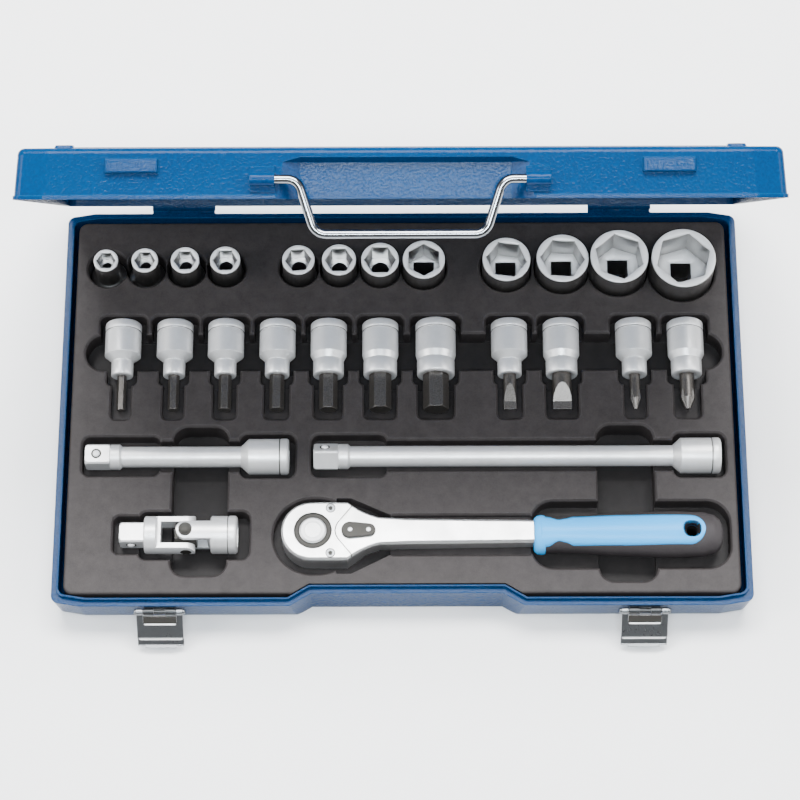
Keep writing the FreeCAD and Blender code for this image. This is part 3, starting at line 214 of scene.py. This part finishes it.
def plated(name, color, low, high, grain=(1, 1, 1), edge=0.0005, scratches=0.25, metallic=1.0):
    """Metal plate: cloudy roughness, hairline scratches along the grain, and rounded edges painted brighter
    as a highlight.
    """
    f = Finish(name, color, (low + high) / 2, metallic)
    cloud = f.noise(60, 4, 0.6)
    hair = f.noise(900, 3, 0.7, f.stretch(*grain))
    dull = tuple(channel * 0.82 for channel in color)
    tone = f.mix(f.ramp(cloud, (0.3, 0.0), (0.75, 1.0)), color, dull)
    # rounded edges painted near white: a painted highlight
    tone = f.mix(f.maths("MULTIPLY", f.soft_edges(edge), 0.5), tone, (0.92, 0.92, 0.93))
    f.bump(hair, 0.00004, scratches)
    rough = f.maths("ADD", f.maths("MULTIPLY", cloud, high - low), low)
    f.drive(Base_Color=tone, Roughness=f.maths("ADD", f.maths("MULTIPLY", hair, 0.08), rough))
    return f.done()


def dark_tool_steel():
    """Phosphated bit steel: nearly black, with oily sheen and grey edges painted on as a highlight."""
    f = Finish("dark_tool_steel", (0.06, 0.06, 0.065), 0.38, 0.85)
    fine = f.noise(1400, 4, 0.6)
    tone = f.mix(f.ramp(fine, (0.35, 0.0), (0.7, 1.0)), (0.095, 0.087, 0.080), (0.175, 0.162, 0.150))
    # grey edges: a painted highlight
    tone = f.mix(f.maths("MULTIPLY", f.soft_edges(0.0004), 0.6), tone, (0.34, 0.34, 0.35))
    f.bump(fine, 0.00006, 0.4)
    f.drive(Base_Color=tone, Roughness=f.ramp(fine, (0.3, 0.3), (0.7, 0.48)))
    return f.done()


def grip_plastic():
    """Hard glossy blue moulding with faint flow marks and a satin skin."""
    f = Finish("grip_plastic", (0.04, 0.55, 1.0), 0.34, 0.0, Specular_IOR_Level=0.25)
    flow = f.noise(30, 2, 0.5, f.stretch(0.3, 1, 1))
    fine = f.noise(2600, 2)
    tone = f.mix(f.ramp(flow, (0.3, 0.0), (0.8, 1.0)), (0.01, 0.36, 0.85), (0.03, 0.42, 0.92))
    # pale edges: a painted highlight on the raised borders
    tone = f.mix(f.maths("MULTIPLY", f.soft_edges(0.0006), 0.6), tone, (0.45, 0.80, 1.0))
    f.bump(fine, 0.00005, 0.3)
    f.drive(Base_Color=tone, Roughness=f.ramp(fine, (0.3, 0.3), (0.7, 0.42)))
    return f.done()


def grip_rubber():
    """Soft charcoal rubber with a fine sandy skin."""
    f = Finish("grip_rubber", (0.035, 0.034, 0.038), 0.6, 0.0, Specular_IOR_Level=0.35)
    fine = f.noise(1800, 3, 0.6)
    tone = f.mix(f.ramp(fine, (0.35, 0.0), (0.7, 1.0)), (0.020, 0.0170, 0.0180), (0.037, 0.0315, 0.0335))
    f.soft_edges(0.0006)
    f.bump(fine, 0.00012, 0.5)
    f.drive(Base_Color=tone, Roughness=f.ramp(fine, (0.3, 0.5), (0.7, 0.7)))
    return f.done()


ENAMEL = hammered_enamel()
SHEET = moulded_sheet()
SATIN = {"color": (0.93, 0.93, 0.93), "low": 0.3, "high": 0.44, "metallic": 0.62}
SATIN_X = plated("satin_chrome_lying", grain=(0.05, 1, 1), **SATIN)
RATCHET_STEEL = plated("ratchet_chrome", (0.79, 0.79, 0.79), 0.27, 0.4, (0.05, 1, 1), metallic=0.96)
SATIN_Y = plated("satin_chrome_across", grain=(1, 0.05, 1), **SATIN)
SATIN_Z = plated("satin_chrome_standing", grain=(1, 1, 0.05), **SATIN)
SOCKET_STEEL = plated("socket_chrome", (0.54, 0.53, 0.52), 0.22, 0.34, (1, 1, 0.05), edge=0.0004,
                      scratches=0.08)
# near-white, hardly metallic chrome: a painted highlight for the socket lips and floors, detent balls,
# drive dish and latch beads
PAINTED_HIGHLIGHT_CHROME = plated("painted_highlight_chrome", (1.0, 1.0, 1.0), 0.26, 0.36, edge=0.0003, scratches=0.2, metallic=0.1)
BRIGHT = plated("bright_chrome", (0.25, 0.265, 0.285), 0.06, 0.14, (0.05, 1, 1), edge=0.0003,
                scratches=0.1)
ZINC = plated("bright_zinc", (0.20, 0.21, 0.22), 0.2, 0.3, (1, 0.08, 1), edge=0.0004, scratches=0.08)
DULL_ZINC = plated("dull_zinc", (0.055, 0.058, 0.060), 0.3, 0.42, (0.08, 1, 1), edge=0.0002,
                   scratches=0.08)
TOOL_STEEL = dark_tool_steel()
# dark steel of the lever, pawl and cross; the same material also paints shade in grooves, round detent
# balls, in screw recesses and behind the latch windows
GUNMETAL_AND_PAINTED_SHADE = plated("gunmetal_and_painted_shade", (0.034, 0.032, 0.028), 0.4, 0.52, edge=0.0002, scratches=0.25,
                  metallic=0.5)
BLUE_PLASTIC = grip_plastic()
RUBBER = grip_rubber()

FINISH = {"tray_shell": ENAMEL, "lid_shell": ENAMEL, "handle_brackets": ENAMEL, "tool_insert": SHEET,
          "tray_hinge_leaves": ENAMEL, "lid_hinge_leaves": ENAMEL, "hinge_pins": ENAMEL,
          "carry_handle": BRIGHT, "latch_brackets": DULL_ZINC, "latch_pins": DULL_ZINC,
          "ratchet_screws": ZINC, "ratchet_lever": GUNMETAL_AND_PAINTED_SHADE,
          "ratchet_pawl": GUNMETAL_AND_PAINTED_SHADE, "grip_core": BLUE_PLASTIC, "grip_pads": RUBBER,
          "ratchet_body": RATCHET_STEEL, "ratchet_cover": RATCHET_STEEL, "ratchet_drive": SATIN_Z,
          "joint_cross": GUNMETAL_AND_PAINTED_SHADE}


def finish_of(name):
    """The finish of a CAD node, by its name or its family."""
    if name in FINISH:
        return FINISH[name]
    if name.startswith("bit_"):
        return TOOL_STEEL
    if name.startswith("holder_"):
        return SATIN_Y
    if name.startswith("socket_"):
        return SOCKET_STEEL
    if name.startswith(("extension", "joint", "ratchet")):
        return SATIN_X
    return ZINC


for name, item in nodes.items():
    item.data.materials.clear()
    item.data.materials.append(finish_of(name))


# ---------------------------------------------------------------- added pieces
def piece(name, verts, faces, body, material, slot):
    """A smooth-shaded mesh that rides on a CAD body."""
    data = bpy.data.meshes.new(name)
    data.from_pydata([tuple(v) for v in verts], [], faces)
    data.materials.append(material)
    item = bpy.data.objects.new(name, data)
    bpy.context.scene.collection.objects.link(item)
    form = bmesh.new()
    form.from_mesh(data)
    bmesh.ops.recalc_face_normals(form, faces=form.faces)
    form.to_mesh(data)
    form.free()
    data.shade_smooth()
    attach(item, body)
    return item


def skin(rings, loop=False):
    """Vertices and faces that join rings of equal count: capped, or the last joined to the first."""
    count, rows = len(rings[0]), len(rings)
    verts = [point for ring in rings for point in ring]
    faces = []
    for row in range(rows if loop else rows - 1):
        far = (row + 1) % rows
        for k in range(count):
            on = (k + 1) % count
            faces.append((row * count + k, row * count + on, far * count + on, far * count + k))
    if not loop:
        faces += [tuple(reversed(range(count))), tuple(range(len(verts) - count, len(verts)))]
    return verts, faces


def lathe(name, profile, centre, axis, body, material, slot, steps=40, loop=False):
    """A turned detail: (radius, height) pairs in millimetres swept round an axis."""
    turn = Vector(axis).to_track_quat("Z", "Y")
    rings = []
    for radius, height in profile:
        ring = []
        for k in range(steps):
            angle = 2 * math.pi * k / steps
            spot = Vector((radius * math.cos(angle), radius * math.sin(angle), height)) * MM
            ring.append(Vector(centre) + turn @ spot)
        rings.append(ring)
    return piece(name, *skin(rings, loop), body, material, slot)


def carve(item, cutter):
    """Cuts a closed piece with another and keeps the result as plain mesh."""
    boolean = item.modifiers.new("hole", "BOOLEAN")
    boolean.object = cutter
    boolean.solver = "EXACT"
    graph = bpy.context.evaluated_depsgraph_get()
    data = bpy.data.meshes.new_from_object(item.evaluated_get(graph))
    item.modifiers.clear()
    item.data = data


def blend_table(table, at):
    """Smooth interpolation in a table of (place, value, ...)."""
    for low, high in zip(table, table[1:]):
        if at <= high[0]:
            part = max(0.0, (at - low[0]) / (high[0] - low[0]))
            ease = part * part * (3 - 2 * part)
            return [a + (b - a) * ease for a, b in zip(low[1:], high[1:])]
    return list(table[-1][1:])


# place along the grip from its front end, half width, half height, in millimetres
GRIP_FORM = [(0, 10.4, 9.8), (3, 11.8, 10.8), (12, 11.2, 10.4), (24, 11.6, 10.9), (52, 13.4, 11.9),
             (84, 14.5, 12.6), (102, 13.9, 12.0), (109, 12.3, 10.8), (112.5, 9.9, 8.6), (114.3, 6.4, 5.4)]
# the same places, half width of the blue inlay, which ends in a half circle
INLAY_FORM = [(4, 10.4), (8, 9.6), (15, 6.8), (19, 7.6), (24, 9.3), (60, 9.7), (94.0, 9.4)]
# place along the grip, then the scale of the collar's section there
COLLAR_FORM = [(0, 0.9), (0.5, 1.0), (2, 1.03), (4.5, 1.04), (6.0, 1.035), (6.8, 1.015), (7.0, 0.98)]
# height and half width of the hanging hole, which flares towards the top
HOLE_PLACE = 95.6
HOLE_FORM = [(-20, 3.3), (7.5, 3.3), (9.5, 3.7), (11.5, 4.8), (13.2, 6.4), (16, 8.0)]


def make_grip():
    """Charcoal rubber body with a hard blue collar and a blue inlay along its top."""
    low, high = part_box("grip_core")
    start, row = low.x, (low.y + high.y) / 2
    middle = (low.z + high.z) / 2

    def ring(place, scale=1.0, steps=48):
        half_y, half_z = blend_table(GRIP_FORM, place)
        points = []
        for k in range(steps):
            angle = 2 * math.pi * k / steps
            y = row + half_y * scale * math.cos(angle) * MM
            z = middle + half_z * scale * math.sin(angle) * MM
            points.append(Vector((start + place * MM, y, z)))
        return points

    places = [4 + 2 * k for k in range(50)] + [104, 106, 108, 109.5, 111, 112, 113, 113.7, 114.3]
    body = piece("grip_body", *skin([ring(p) for p in places]), "ratchet", RUBBER, "grip_charcoal")
    collar_rings = [ring(place, scale) for place, scale in COLLAR_FORM]
    piece("grip_collar", *skin(collar_rings), "ratchet", BLUE_PLASTIC, "grip_blue")
    across, rows = 12, []
    end, nose = INLAY_FORM[-1]
    stops = [4 + 1.25 * k for k in range(73)]
    stops += [end + nose * math.sin(math.radians(a)) for a in range(6, 91, 6)]
    for place in stops:
        half = blend_table(INLAY_FORM, min(place, end))[0]
        if place > end:
            half = math.sqrt(max(nose ** 2 - (place - end) ** 2, 0.02))
        half_y, half_z = blend_table(GRIP_FORM, place)
        top, bottom = [], []
        for k in range(across + 1):
            side = half * (2 * k / across - 1)
            rise = half_z * math.sqrt(max(1 - (side / half_y) ** 2, 0.0))
            edge = 0.45 if 0 < k < across else 0.1
            top.append(Vector((start + place * MM, row + side * MM, middle + (rise + edge) * MM)))
            bottom.append(Vector((start + place * MM, row + side * 0.8 * MM, middle + (rise - 6) * MM)))
        rows.append(top + bottom[::-1])
    inlay = piece("grip_inlay", *skin(rows), "ratchet", BLUE_PLASTIC, "grip_blue")
    hole, squareness = start + HOLE_PLACE * MM, 0.75
    rings = []
    for height, wide in HOLE_FORM:
        spots = []
        for k in range(40):
            angle = 2 * math.pi * k / 40
            bow = abs(math.cos(angle)) ** squareness * math.copysign(1, math.cos(angle))
            lift = abs(math.sin(angle)) ** squareness * math.copysign(1, math.sin(angle))
            x, y = hole + wide * bow * MM, row + wide * 1.12 * lift * MM
            spots.append(Vector((x, y, middle + height * MM)))
        rings.append(spots)
    cutter = piece("hole_cutter", *skin(rings), "ratchet", BLUE_PLASTIC, "grip_blue")
    carve(body, cutter)
    carve(inlay, cutter)
    bpy.data.objects.remove(cutter)
    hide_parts("grip_pads")
    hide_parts("grip_core")


# size across flats: diameter of the mouth in millimetres and turn of the hexagon in degrees
MOUTHS = {10: (15.5, 0), 11: (16.9, 0), 12: (18.2, 2), 13: (19.2, 0), 14: (20.6, 5), 15: (21.6, 1),
          17: (23.8, 0), 19: (26.6, 30), 22: (30.2, -8), 24: (32.9, -4), 27: (36.6, 40), 30: (40.2, 17)}


def make_lips():
    """Turned lips: a ring on each socket, painted bright as a highlight, round outside and six-sided
    inside.
    """
    steps, wall, lead_in = 90, 0.75, 0.3
    for size, (mouth, turn) in MOUTHS.items():
        low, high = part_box(f"socket_{size}")
        x, y = (low.x + high.x) / 2, (low.y + high.y) / 2
        outer, flat = mouth / 2, size / 2 + 0.12
        # radius and height of each ring; None follows the hexagon
        form = ((outer - 0.15, -0.55), (outer - 0.25, -0.12), (outer - 0.6, 0.08),
                (None, 0.08), (None, -0.5), (None, -1.0))
        rings = []
        for base, height in form:
            ring = []
            for k in range(steps):
                angle = 2 * math.pi * k / steps
                bend = (math.degrees(angle) - turn) % 60 - 30
                reach = flat / math.cos(math.radians(bend))
                lead = lead_in if height > 0 else 0.0
                radius = base if base else min(reach + lead, outer - wall)
                ring.append(Vector((x + radius * math.cos(angle) * MM, y + radius * math.sin(angle) * MM,
                                    high.z + height * MM)))
            rings.append(ring)
        foot = Vector((x, y, rings[-1][0].z))
        rings.append([foot + (point - foot) * 1.02 for point in rings[-1]])
        piece(f"lip_{size}", *skin(rings, True), f"socket_{size}", PAINTED_HIGHLIGHT_CHROME, "satin_chrome")


# size across flats: depth of the hexagon in millimetres, for the sockets whose floors show
FLOORS = {19: 18.0, 22: 19.0, 24: 19.0, 27: 20.0, 30: 22.0}


def make_floors():
    """Floors of the large sockets, painted bright as a highlight, each with the drive square's opening."""
    steps, drive_half = 72, 6.45
    for size, depth in FLOORS.items():
        low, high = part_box(f"socket_{size}")
        x, y, floor = (low.x + high.x) / 2, (low.y + high.y) / 2, high.z - depth * MM
        rings = []
        for square, height in ((False, -0.3), (False, 0.08), (True, 0.08), (True, -0.3)):
            ring = []
            for k in range(steps):
                angle = 2 * math.pi * k / steps
                if square:
                    radius = drive_half / max(abs(math.cos(angle)), abs(math.sin(angle)))
                else:
                    bend = (math.degrees(angle) - MOUTHS[size][1]) % 60 - 30
                    radius = (size / 2 + 0.02) / math.cos(math.radians(bend))
                ring.append(Vector((x + radius * math.cos(angle) * MM, y + radius * math.sin(angle) * MM,
                                    floor + height * MM)))
            rings.append(ring)
        piece(f"floor_{size}", *skin(rings, True), f"socket_{size}", PAINTED_HIGHLIGHT_CHROME, "satin_chrome")


# radius and height pairs of the turned details, in millimetres
BALL = [(2.2, -0.2), (2.2, 0.1), (1.9, 0.55), (1.3, 0.95), (0.5, 1.15), (0.05, 1.2)]
BALL_SHADE_RING = [(3.15, -0.25), (3.15, 0.04), (2.9, 0.08), (2.2, 0.08), (2.15, -0.25)]


def detent(name, place, axis, body):
    """A sprung ball in the side of a drive square, painted bright as a highlight, with a flat dark ring
    round it as painted shade.
    """
    lathe(f"ball_{name}", BALL, place, axis, body, PAINTED_HIGHLIGHT_CHROME, "satin_chrome")
    lathe(f"ball_shade_ring_{name}", BALL_SHADE_RING, place, axis, body, GUNMETAL_AND_PAINTED_SHADE, "dark_steel", loop=True)


def collar(name, end, radius, body, axis=(1, 0, 0), finish=SATIN_X):
    """A turned band at an open end, with a dark ring before it that paints the shade of a groove; end is
    the centre of the open face.
    """
    band = [(radius - 0.4, -5.2), (radius + 0.12, -4.9), (radius + 0.18, -4.4), (radius + 0.18, -1.2),
            (radius + 0.05, -0.9), (radius - 0.4, -0.9)]
    groove = [(radius - 0.4, -5.75), (radius + 0.03, -5.75), (radius + 0.03, -5.2), (radius - 0.4, -5.2)]
    lathe(f"band_{name}", band, end, axis, body, finish, "satin_chrome", 64, True)
    lathe(f"groove_{name}", groove, end, axis, body, GUNMETAL_AND_PAINTED_SHADE, "dark_steel", 64, True)


# nose diameter and size of each bit in millimetres
NOSES = {"hex_5": (13.0, 5.0), "hex_6": (13.0, 6.0), "hex_7": (13.0, 7.0), "hex_8": (14.6, 8.0),
         "hex_10": (18.4, 10.0), "hex_12": (20.2, 12.0), "hex_14": (22.7, 14.0), "slot_8": (14.3, 8.0),
         "slot_10": (19.0, 12.0), "cross_2": (14.8, 6.5), "cross_3": (18.4, 9.0)}


def make_holder_trim():
    """Per bit socket: a band round the drive end and a rounded ring that ends the nose."""
    for name, (nose, size) in NOSES.items():
        low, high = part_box(f"holder_{name}")
        x, z, body = (low.x + high.x) / 2, (low.z + high.z) / 2, f"bit_socket_{name}"
        collar(name, (x, high.y, z), (high.x - low.x) * 500 - 0.1, body, (0, 1, 0), SATIN_Y)
        outer, inner = nose / 2 + 0.35, size / 2 / math.cos(math.radians(30)) + 0.15
        ring = [(outer - 1.2, -7.7), (outer - 0.2, -7.4), (outer, -6.8), (outer, 1.5), (outer - 0.2, 2.0),
                (outer - 0.7, 2.3), (inner, 2.4), (inner, -2.6)]
        lathe(f"nose_{name}", ring, (x, low.y, z), (0, -1, 0), body, SATIN_Y, "satin_chrome", 48, True)


# half the drive square, and the detent ball's place from the square's end, in millimetres
SQUARE_HALF, BALL_PLACE = 6.35, 6.9
JOINT_PIN = [(4.2, -1.0), (4.2, 0.1), (3.9, 0.3), (3.4, 0.36), (3.2, 0.2), (0.05, 0.22)]


def make_bar_details():
    """The bars' end bands and detent balls, and the joint's band, ball and pin."""
    square = SQUARE_HALF * MM
    for name in ("short", "long"):
        low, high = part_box(f"extension_{name}")
        middle, body = (low + high) / 2, f"extension_{name}"
        collar(name, (high.x, middle.y, middle.z), 11.0, body)
        axis = Vector((0, 0, 1) if name == "short" else (0, 1, 1)).normalized()
        detent(name, Vector((low.x + BALL_PLACE * MM, middle.y, middle.z)) + axis * square, axis, body)
    low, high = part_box("joint_socket_yoke")
    middle, top = (low + high) / 2, high.z
    collar("joint", (high.x, middle.y, middle.z), 11.5, "joint_socket_yoke")
    low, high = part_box("joint_drive_yoke")
    detent("joint", (low.x + BALL_PLACE * MM, middle.y - square, middle.z), (0, -1, 0), "joint_drive_yoke")
    low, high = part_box("joint_cross")
    centre = (low + high) / 2
    lathe("joint_pin", JOINT_PIN, (centre.x, centre.y, top - 0.15 * MM), (0, 0, 1), "joint_socket_yoke",
          GUNMETAL_AND_PAINTED_SHADE, "dark_steel", 48)


DRIVE_RING = [(8.35, -0.6), (8.35, 0.02), (8.7, 0.16), (10.9, 0.16), (11.35, -0.05), (11.35, -0.6)]
DRIVE_DISH = [(7.4, 0.9), (7.4, 1.12), (7.0, 1.2), (6.2, 1.1), (4.5, 0.98), (2.0, 0.93), (0.05, 0.92)]
SCREW_RECESS = [(1.1, -0.3), (1.1, 0.05), (0.9, 0.06), (0.05, 0.06)]
LEVER_PIN = [(1.5, -0.5), (1.5, -0.05), (1.2, 0.1), (0.6, 0.2), (0.05, 0.22)]
# one half of the cover's seam, from its tip on the arm's side outwards; the other half mirrors it
SEAM = [(13.4, 0.0), (13.9, 2.6), (15.0, 5.0), (17.1, 7.6), (19.2, 10.2), (21.3, 12.8), (23.4, 15.4),
        (23.4, 17.0)]
SEAM_HALF = 0.36


def make_ratchet_details():
    """The ratchet's detent, drive ring and dish, cover seam, screw rims and lever pins."""
    low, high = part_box("ratchet_drive")
    centre = (low + high) / 2
    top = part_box("ratchet_body")[1].z
    up = (0, 0, 1)
    face = (centre.x, centre.y, top)
    detent("ratchet", (centre.x, centre.y - SQUARE_HALF * MM, low.z + 7 * MM), (0, -1, 0), "ratchet_drive")
    lathe("drive_ring", DRIVE_RING, face, up, "ratchet_drive", GUNMETAL_AND_PAINTED_SHADE, "dark_steel", 72, True)
    # the dish on the drive's face is painted bright as a highlight
    lathe("drive_dish", DRIVE_DISH, face, up, "ratchet_drive", PAINTED_HIGHLIGHT_CHROME, "satin_chrome", 64)
    rings = []
    for x, y in [(a, -b) for a, b in SEAM[:0:-1]] + SEAM:
        spots = [(x - SEAM_HALF, -0.3), (x - SEAM_HALF, 0.05), (x + SEAM_HALF, 0.05), (x + SEAM_HALF, -0.3)]
        rings.append([Vector((centre.x + a * MM, centre.y + y * MM, top + b * MM)) for a, b in spots])
    piece("cover_seam", *skin(rings), "ratchet", GUNMETAL_AND_PAINTED_SHADE, "dark_steel")
    low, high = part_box("ratchet_screws")
    radius = (high.x - low.x) / 2
    inner, outer = radius / MM - 0.1, radius / MM + 0.4
    rim = [(inner, -0.3), (inner, 0.05), (outer, 0.05), (outer, -0.3)]
    for name, y in (("low", low.y + radius), ("high", high.y - radius)):
        lathe(f"screw_rim_{name}", rim, (low.x + radius, y, top), up, "ratchet", GUNMETAL_AND_PAINTED_SHADE, "dark_steel",
              32, True)
        # a flat dark hexagon that paints the shade in the screw's recess
        lathe(f"screw_recess_{name}", SCREW_RECESS, (low.x + radius, y, high.z), up, "ratchet", GUNMETAL_AND_PAINTED_SHADE,
              "dark_steel", 6)
    low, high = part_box("ratchet_lever")
    for name, x in (("lever_pin_back", low.x + 5.3 * MM), ("lever_pin_tip", high.x - 4.3 * MM)):
        lathe(name, LEVER_PIN, (x, centre.y, high.z), up, "ratchet_lever", SATIN_Z, "satin_chrome", 24)


PIN_HEAD = [(1.0, -0.4), (1.45, 0.0), (1.7, 0.5), (1.6, 1.1), (1.2, 1.5), (0.05, 1.6)]
# half length and scale of each ring of a rolled bead
FOLD_BEAD = ((-13.4, 0.35), (-13.0, 0.8), (-12.0, 1.0), (12.0, 1.0), (13.0, 0.8), (13.4, 0.35))
LIP_BEAD = ((-9.6, 0.3), (-9.2, 0.9), (-8.4, 1.0), (8.4, 1.0), (9.2, 0.9), (9.6, 0.3))
# section of the dark plate behind the window, which paints the shade seen through it: outwards and up the
# shut latch
WINDOW_SHADE_SECTION = ((-1.5, 2.5), (-0.95, 2.5), (-0.95, 7.4), (-1.5, 7.4))
WINDOW_HALF = 10.0
LATCH_HANG = 138


def make_latch_trim():
    """Per latch: beads on the fold and under the window painted bright as highlights, a dark plate in the
    window that paints the shade seen through it, and pin heads.
    """
    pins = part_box("latch_pins")
    y, z = (pins[0].y + pins[1].y) / 2, (pins[0].z + pins[1].z) / 2
    turn = Matrix.Rotation(math.radians(LATCH_HANG), 3, "X")

    def at(x, out, up):
        """A point of the shut latch, turned with it to where it hangs open."""
        return Vector((x, y, z)) + turn @ Vector((0, -out, up)) * MM

    def bead(form, middle, out, up, thick, tall, steps):
        rings = []
        for reach, size in form:
            angles = [2 * math.pi * k / steps for k in range(steps)]
            rings.append([at(middle + reach * MM, out + thick * size * math.cos(angle),
                             up + tall * size * math.sin(angle)) for angle in angles])
        return skin(rings)

    for side in ("left", "right"):
        low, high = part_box(f"latch_{side}")
        middle, body = (low.x + high.x) / 2, f"latch_{side}"
        # the fold and window beads are painted bright as highlights
        piece(f"bead_{side}", *bead(FOLD_BEAD, middle, 1.35, 18.6, 0.95, 1.9, 24), body, PAINTED_HIGHLIGHT_CHROME, "zinc_steel")
        rings = [[at(middle + reach * MM, out, up) for out, up in WINDOW_SHADE_SECTION]
                 for reach in (-WINDOW_HALF, WINDOW_HALF)]
        # a dark plate that paints the shade seen through the window
        plate = piece(f"window_{side}", *skin(rings), body, GUNMETAL_AND_PAINTED_SHADE, "zinc_steel")
        plate.data.shade_flat()
        lip = bead(LIP_BEAD, middle, -0.85, 8.0, 0.75, 0.8, 16)
        piece(f"window_lip_{side}", *lip, body, PAINTED_HIGHLIGHT_CHROME, "zinc_steel")
        for end, x, way in (("a", low.x, -1), ("b", high.x, 1)):
            lathe(f"pin_head_{side}_{end}", PIN_HEAD, (x, y, z), (way, 0, 0), "case_tray", ZINC,
                  "zinc_steel", 24)


# section and length of the strip under a hinge, from the pin's centre, in millimetres
GUARD_FORM = [(-4.7, -3.3), (1.3, -3.3), (2.4, -2.8), (2.75, -1.7), (2.2, -1.6), (1.8, -2.4), (1.1, -2.7),
              (-4.7, -2.7)]
GUARD_LENGTH = 39.2


def make_hinge_guards():
    """A rolled strip under each hinge's knuckles, which closes the gaps between them."""
    low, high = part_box("tray_hinge_leaves")
    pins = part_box("hinge_pins")
    y, z = (pins[0].y + pins[1].y) / 2, (pins[0].z + pins[1].z) / 2
    for name, start in (("left", low.x + 0.2 * MM), ("right", high.x - 39.6 * MM)):
        rings = [[Vector((start + reach * MM, y + a * MM, z + b * MM)) for a, b in GUARD_FORM]
                 for reach in (0, GUARD_LENGTH)]
        piece(f"hinge_guard_{name}", *skin(rings), "case_tray", ENAMEL, "blue_hammertone")


make_hinge_guards()
make_lips()
make_floors()
make_grip()
make_bar_details()
make_ratchet_details()
make_holder_trim()
make_latch_trim()


# ---------------------------------------------------------------- stage
# name, place, point it aims at, size, power and tint of each light, in metres and watts
LIGHTS = [("key_front", (0.0, -0.94, 2.15), (0, -0.05, 0), (1.0, 0.24), 48, (0.84, 0.93, 1.0)),
          ("softbox_top", (0.0, 0.9, 2.1), (0, -0.05, 0), (2.0, 1.0), 178, (1, 1, 1)),
          ("softbox_left", (-1.7, -0.2, 1.3), (0, 0, 0.02), (0.8, 1.2), 36, (1, 1, 1)),
          ("softbox_right", (1.7, -0.2, 1.3), (0, 0, 0.02), (0.8, 1.2), 26, (1, 1, 1))]
# grey of the surroundings from below and from above
WORLD_LOW, WORLD_HIGH = 0.16, 0.62
# camera: focal length in millimetres, then place in metres, tilt, yaw and roll in degrees
LENS = 127.77
CAMERA_PLACE = (0.00367, -0.66938, 1.6555)
TILT, YAW, ROLL = 22.41, 0.41, -0.54
FLOOR_HALF = 6
FLOOR_DROP = 0.0002


def area_light(name, place, aim, size, power, tint):
    data = bpy.data.lights.new(name, "AREA")
    data.shape = "RECTANGLE"
    data.size, data.size_y = size
    data.energy = power
    data.color = tint
    item = bpy.data.objects.new(name, data)
    bpy.context.scene.collection.objects.link(item)
    item.location = place
    item.rotation_euler = (Vector(aim) - Vector(place)).to_track_quat("-Z", "Y").to_euler()


def make_stage():
    data = bpy.data.meshes.new("floor")
    form = bmesh.new()
    bmesh.ops.create_grid(form, x_segments=8, y_segments=8, size=FLOOR_HALF)
    form.to_mesh(data)
    form.free()
    floor = bpy.data.objects.new("floor", data)
    floor.location.z = cad_box[0][2] - FLOOR_DROP
    bpy.context.scene.collection.objects.link(floor)
    paper = Finish("studio_paper", (0.9, 0.9, 0.9), 0.8)
    speck = paper.noise(40, 3)
    paper.drive(Base_Color=paper.mix(speck, (0.90, 0.90, 0.90), (0.93, 0.93, 0.93)))
    data.materials.append(paper.done())
    world = bpy.data.worlds.new("studio")
    bpy.context.scene.world = world
    world.use_nodes = True
    tree = world.node_tree
    shade = tree.nodes["Background"]
    ramp = tree.nodes.new("ShaderNodeValToRGB")
    split = tree.nodes.new("ShaderNodeSeparateXYZ")
    where = tree.nodes.new("ShaderNodeTexCoord")
    tree.links.new(where.outputs["Generated"], split.inputs["Vector"])
    tree.links.new(split.outputs["Z"], ramp.inputs["Fac"])
    tree.links.new(ramp.outputs["Color"], shade.inputs["Color"])
    ramp.color_ramp.elements[0].color = (WORLD_LOW, WORLD_LOW, WORLD_LOW, 1)
    ramp.color_ramp.elements[1].color = (WORLD_HIGH, WORLD_HIGH, WORLD_HIGH, 1)
    shade.inputs["Strength"].default_value = 1.0
    for light in LIGHTS:
        area_light(*light)


def make_camera():
    data = bpy.data.cameras.new("camera")
    data.sensor_width = 36
    data.lens = LENS
    data.clip_start, data.clip_end = 0.05, 30
    item = bpy.data.objects.new("camera", data)
    tilt = Matrix.Rotation(math.radians(TILT), 4, "X")
    yaw = Matrix.Rotation(math.radians(YAW), 4, "Z")
    roll = Matrix.Rotation(math.radians(ROLL), 4, "Z")
    item.matrix_world = Matrix.Translation(CAMERA_PLACE) @ yaw @ tilt @ roll
    bpy.context.scene.collection.objects.link(item)
    bpy.context.scene.camera = item


make_stage()
make_camera()
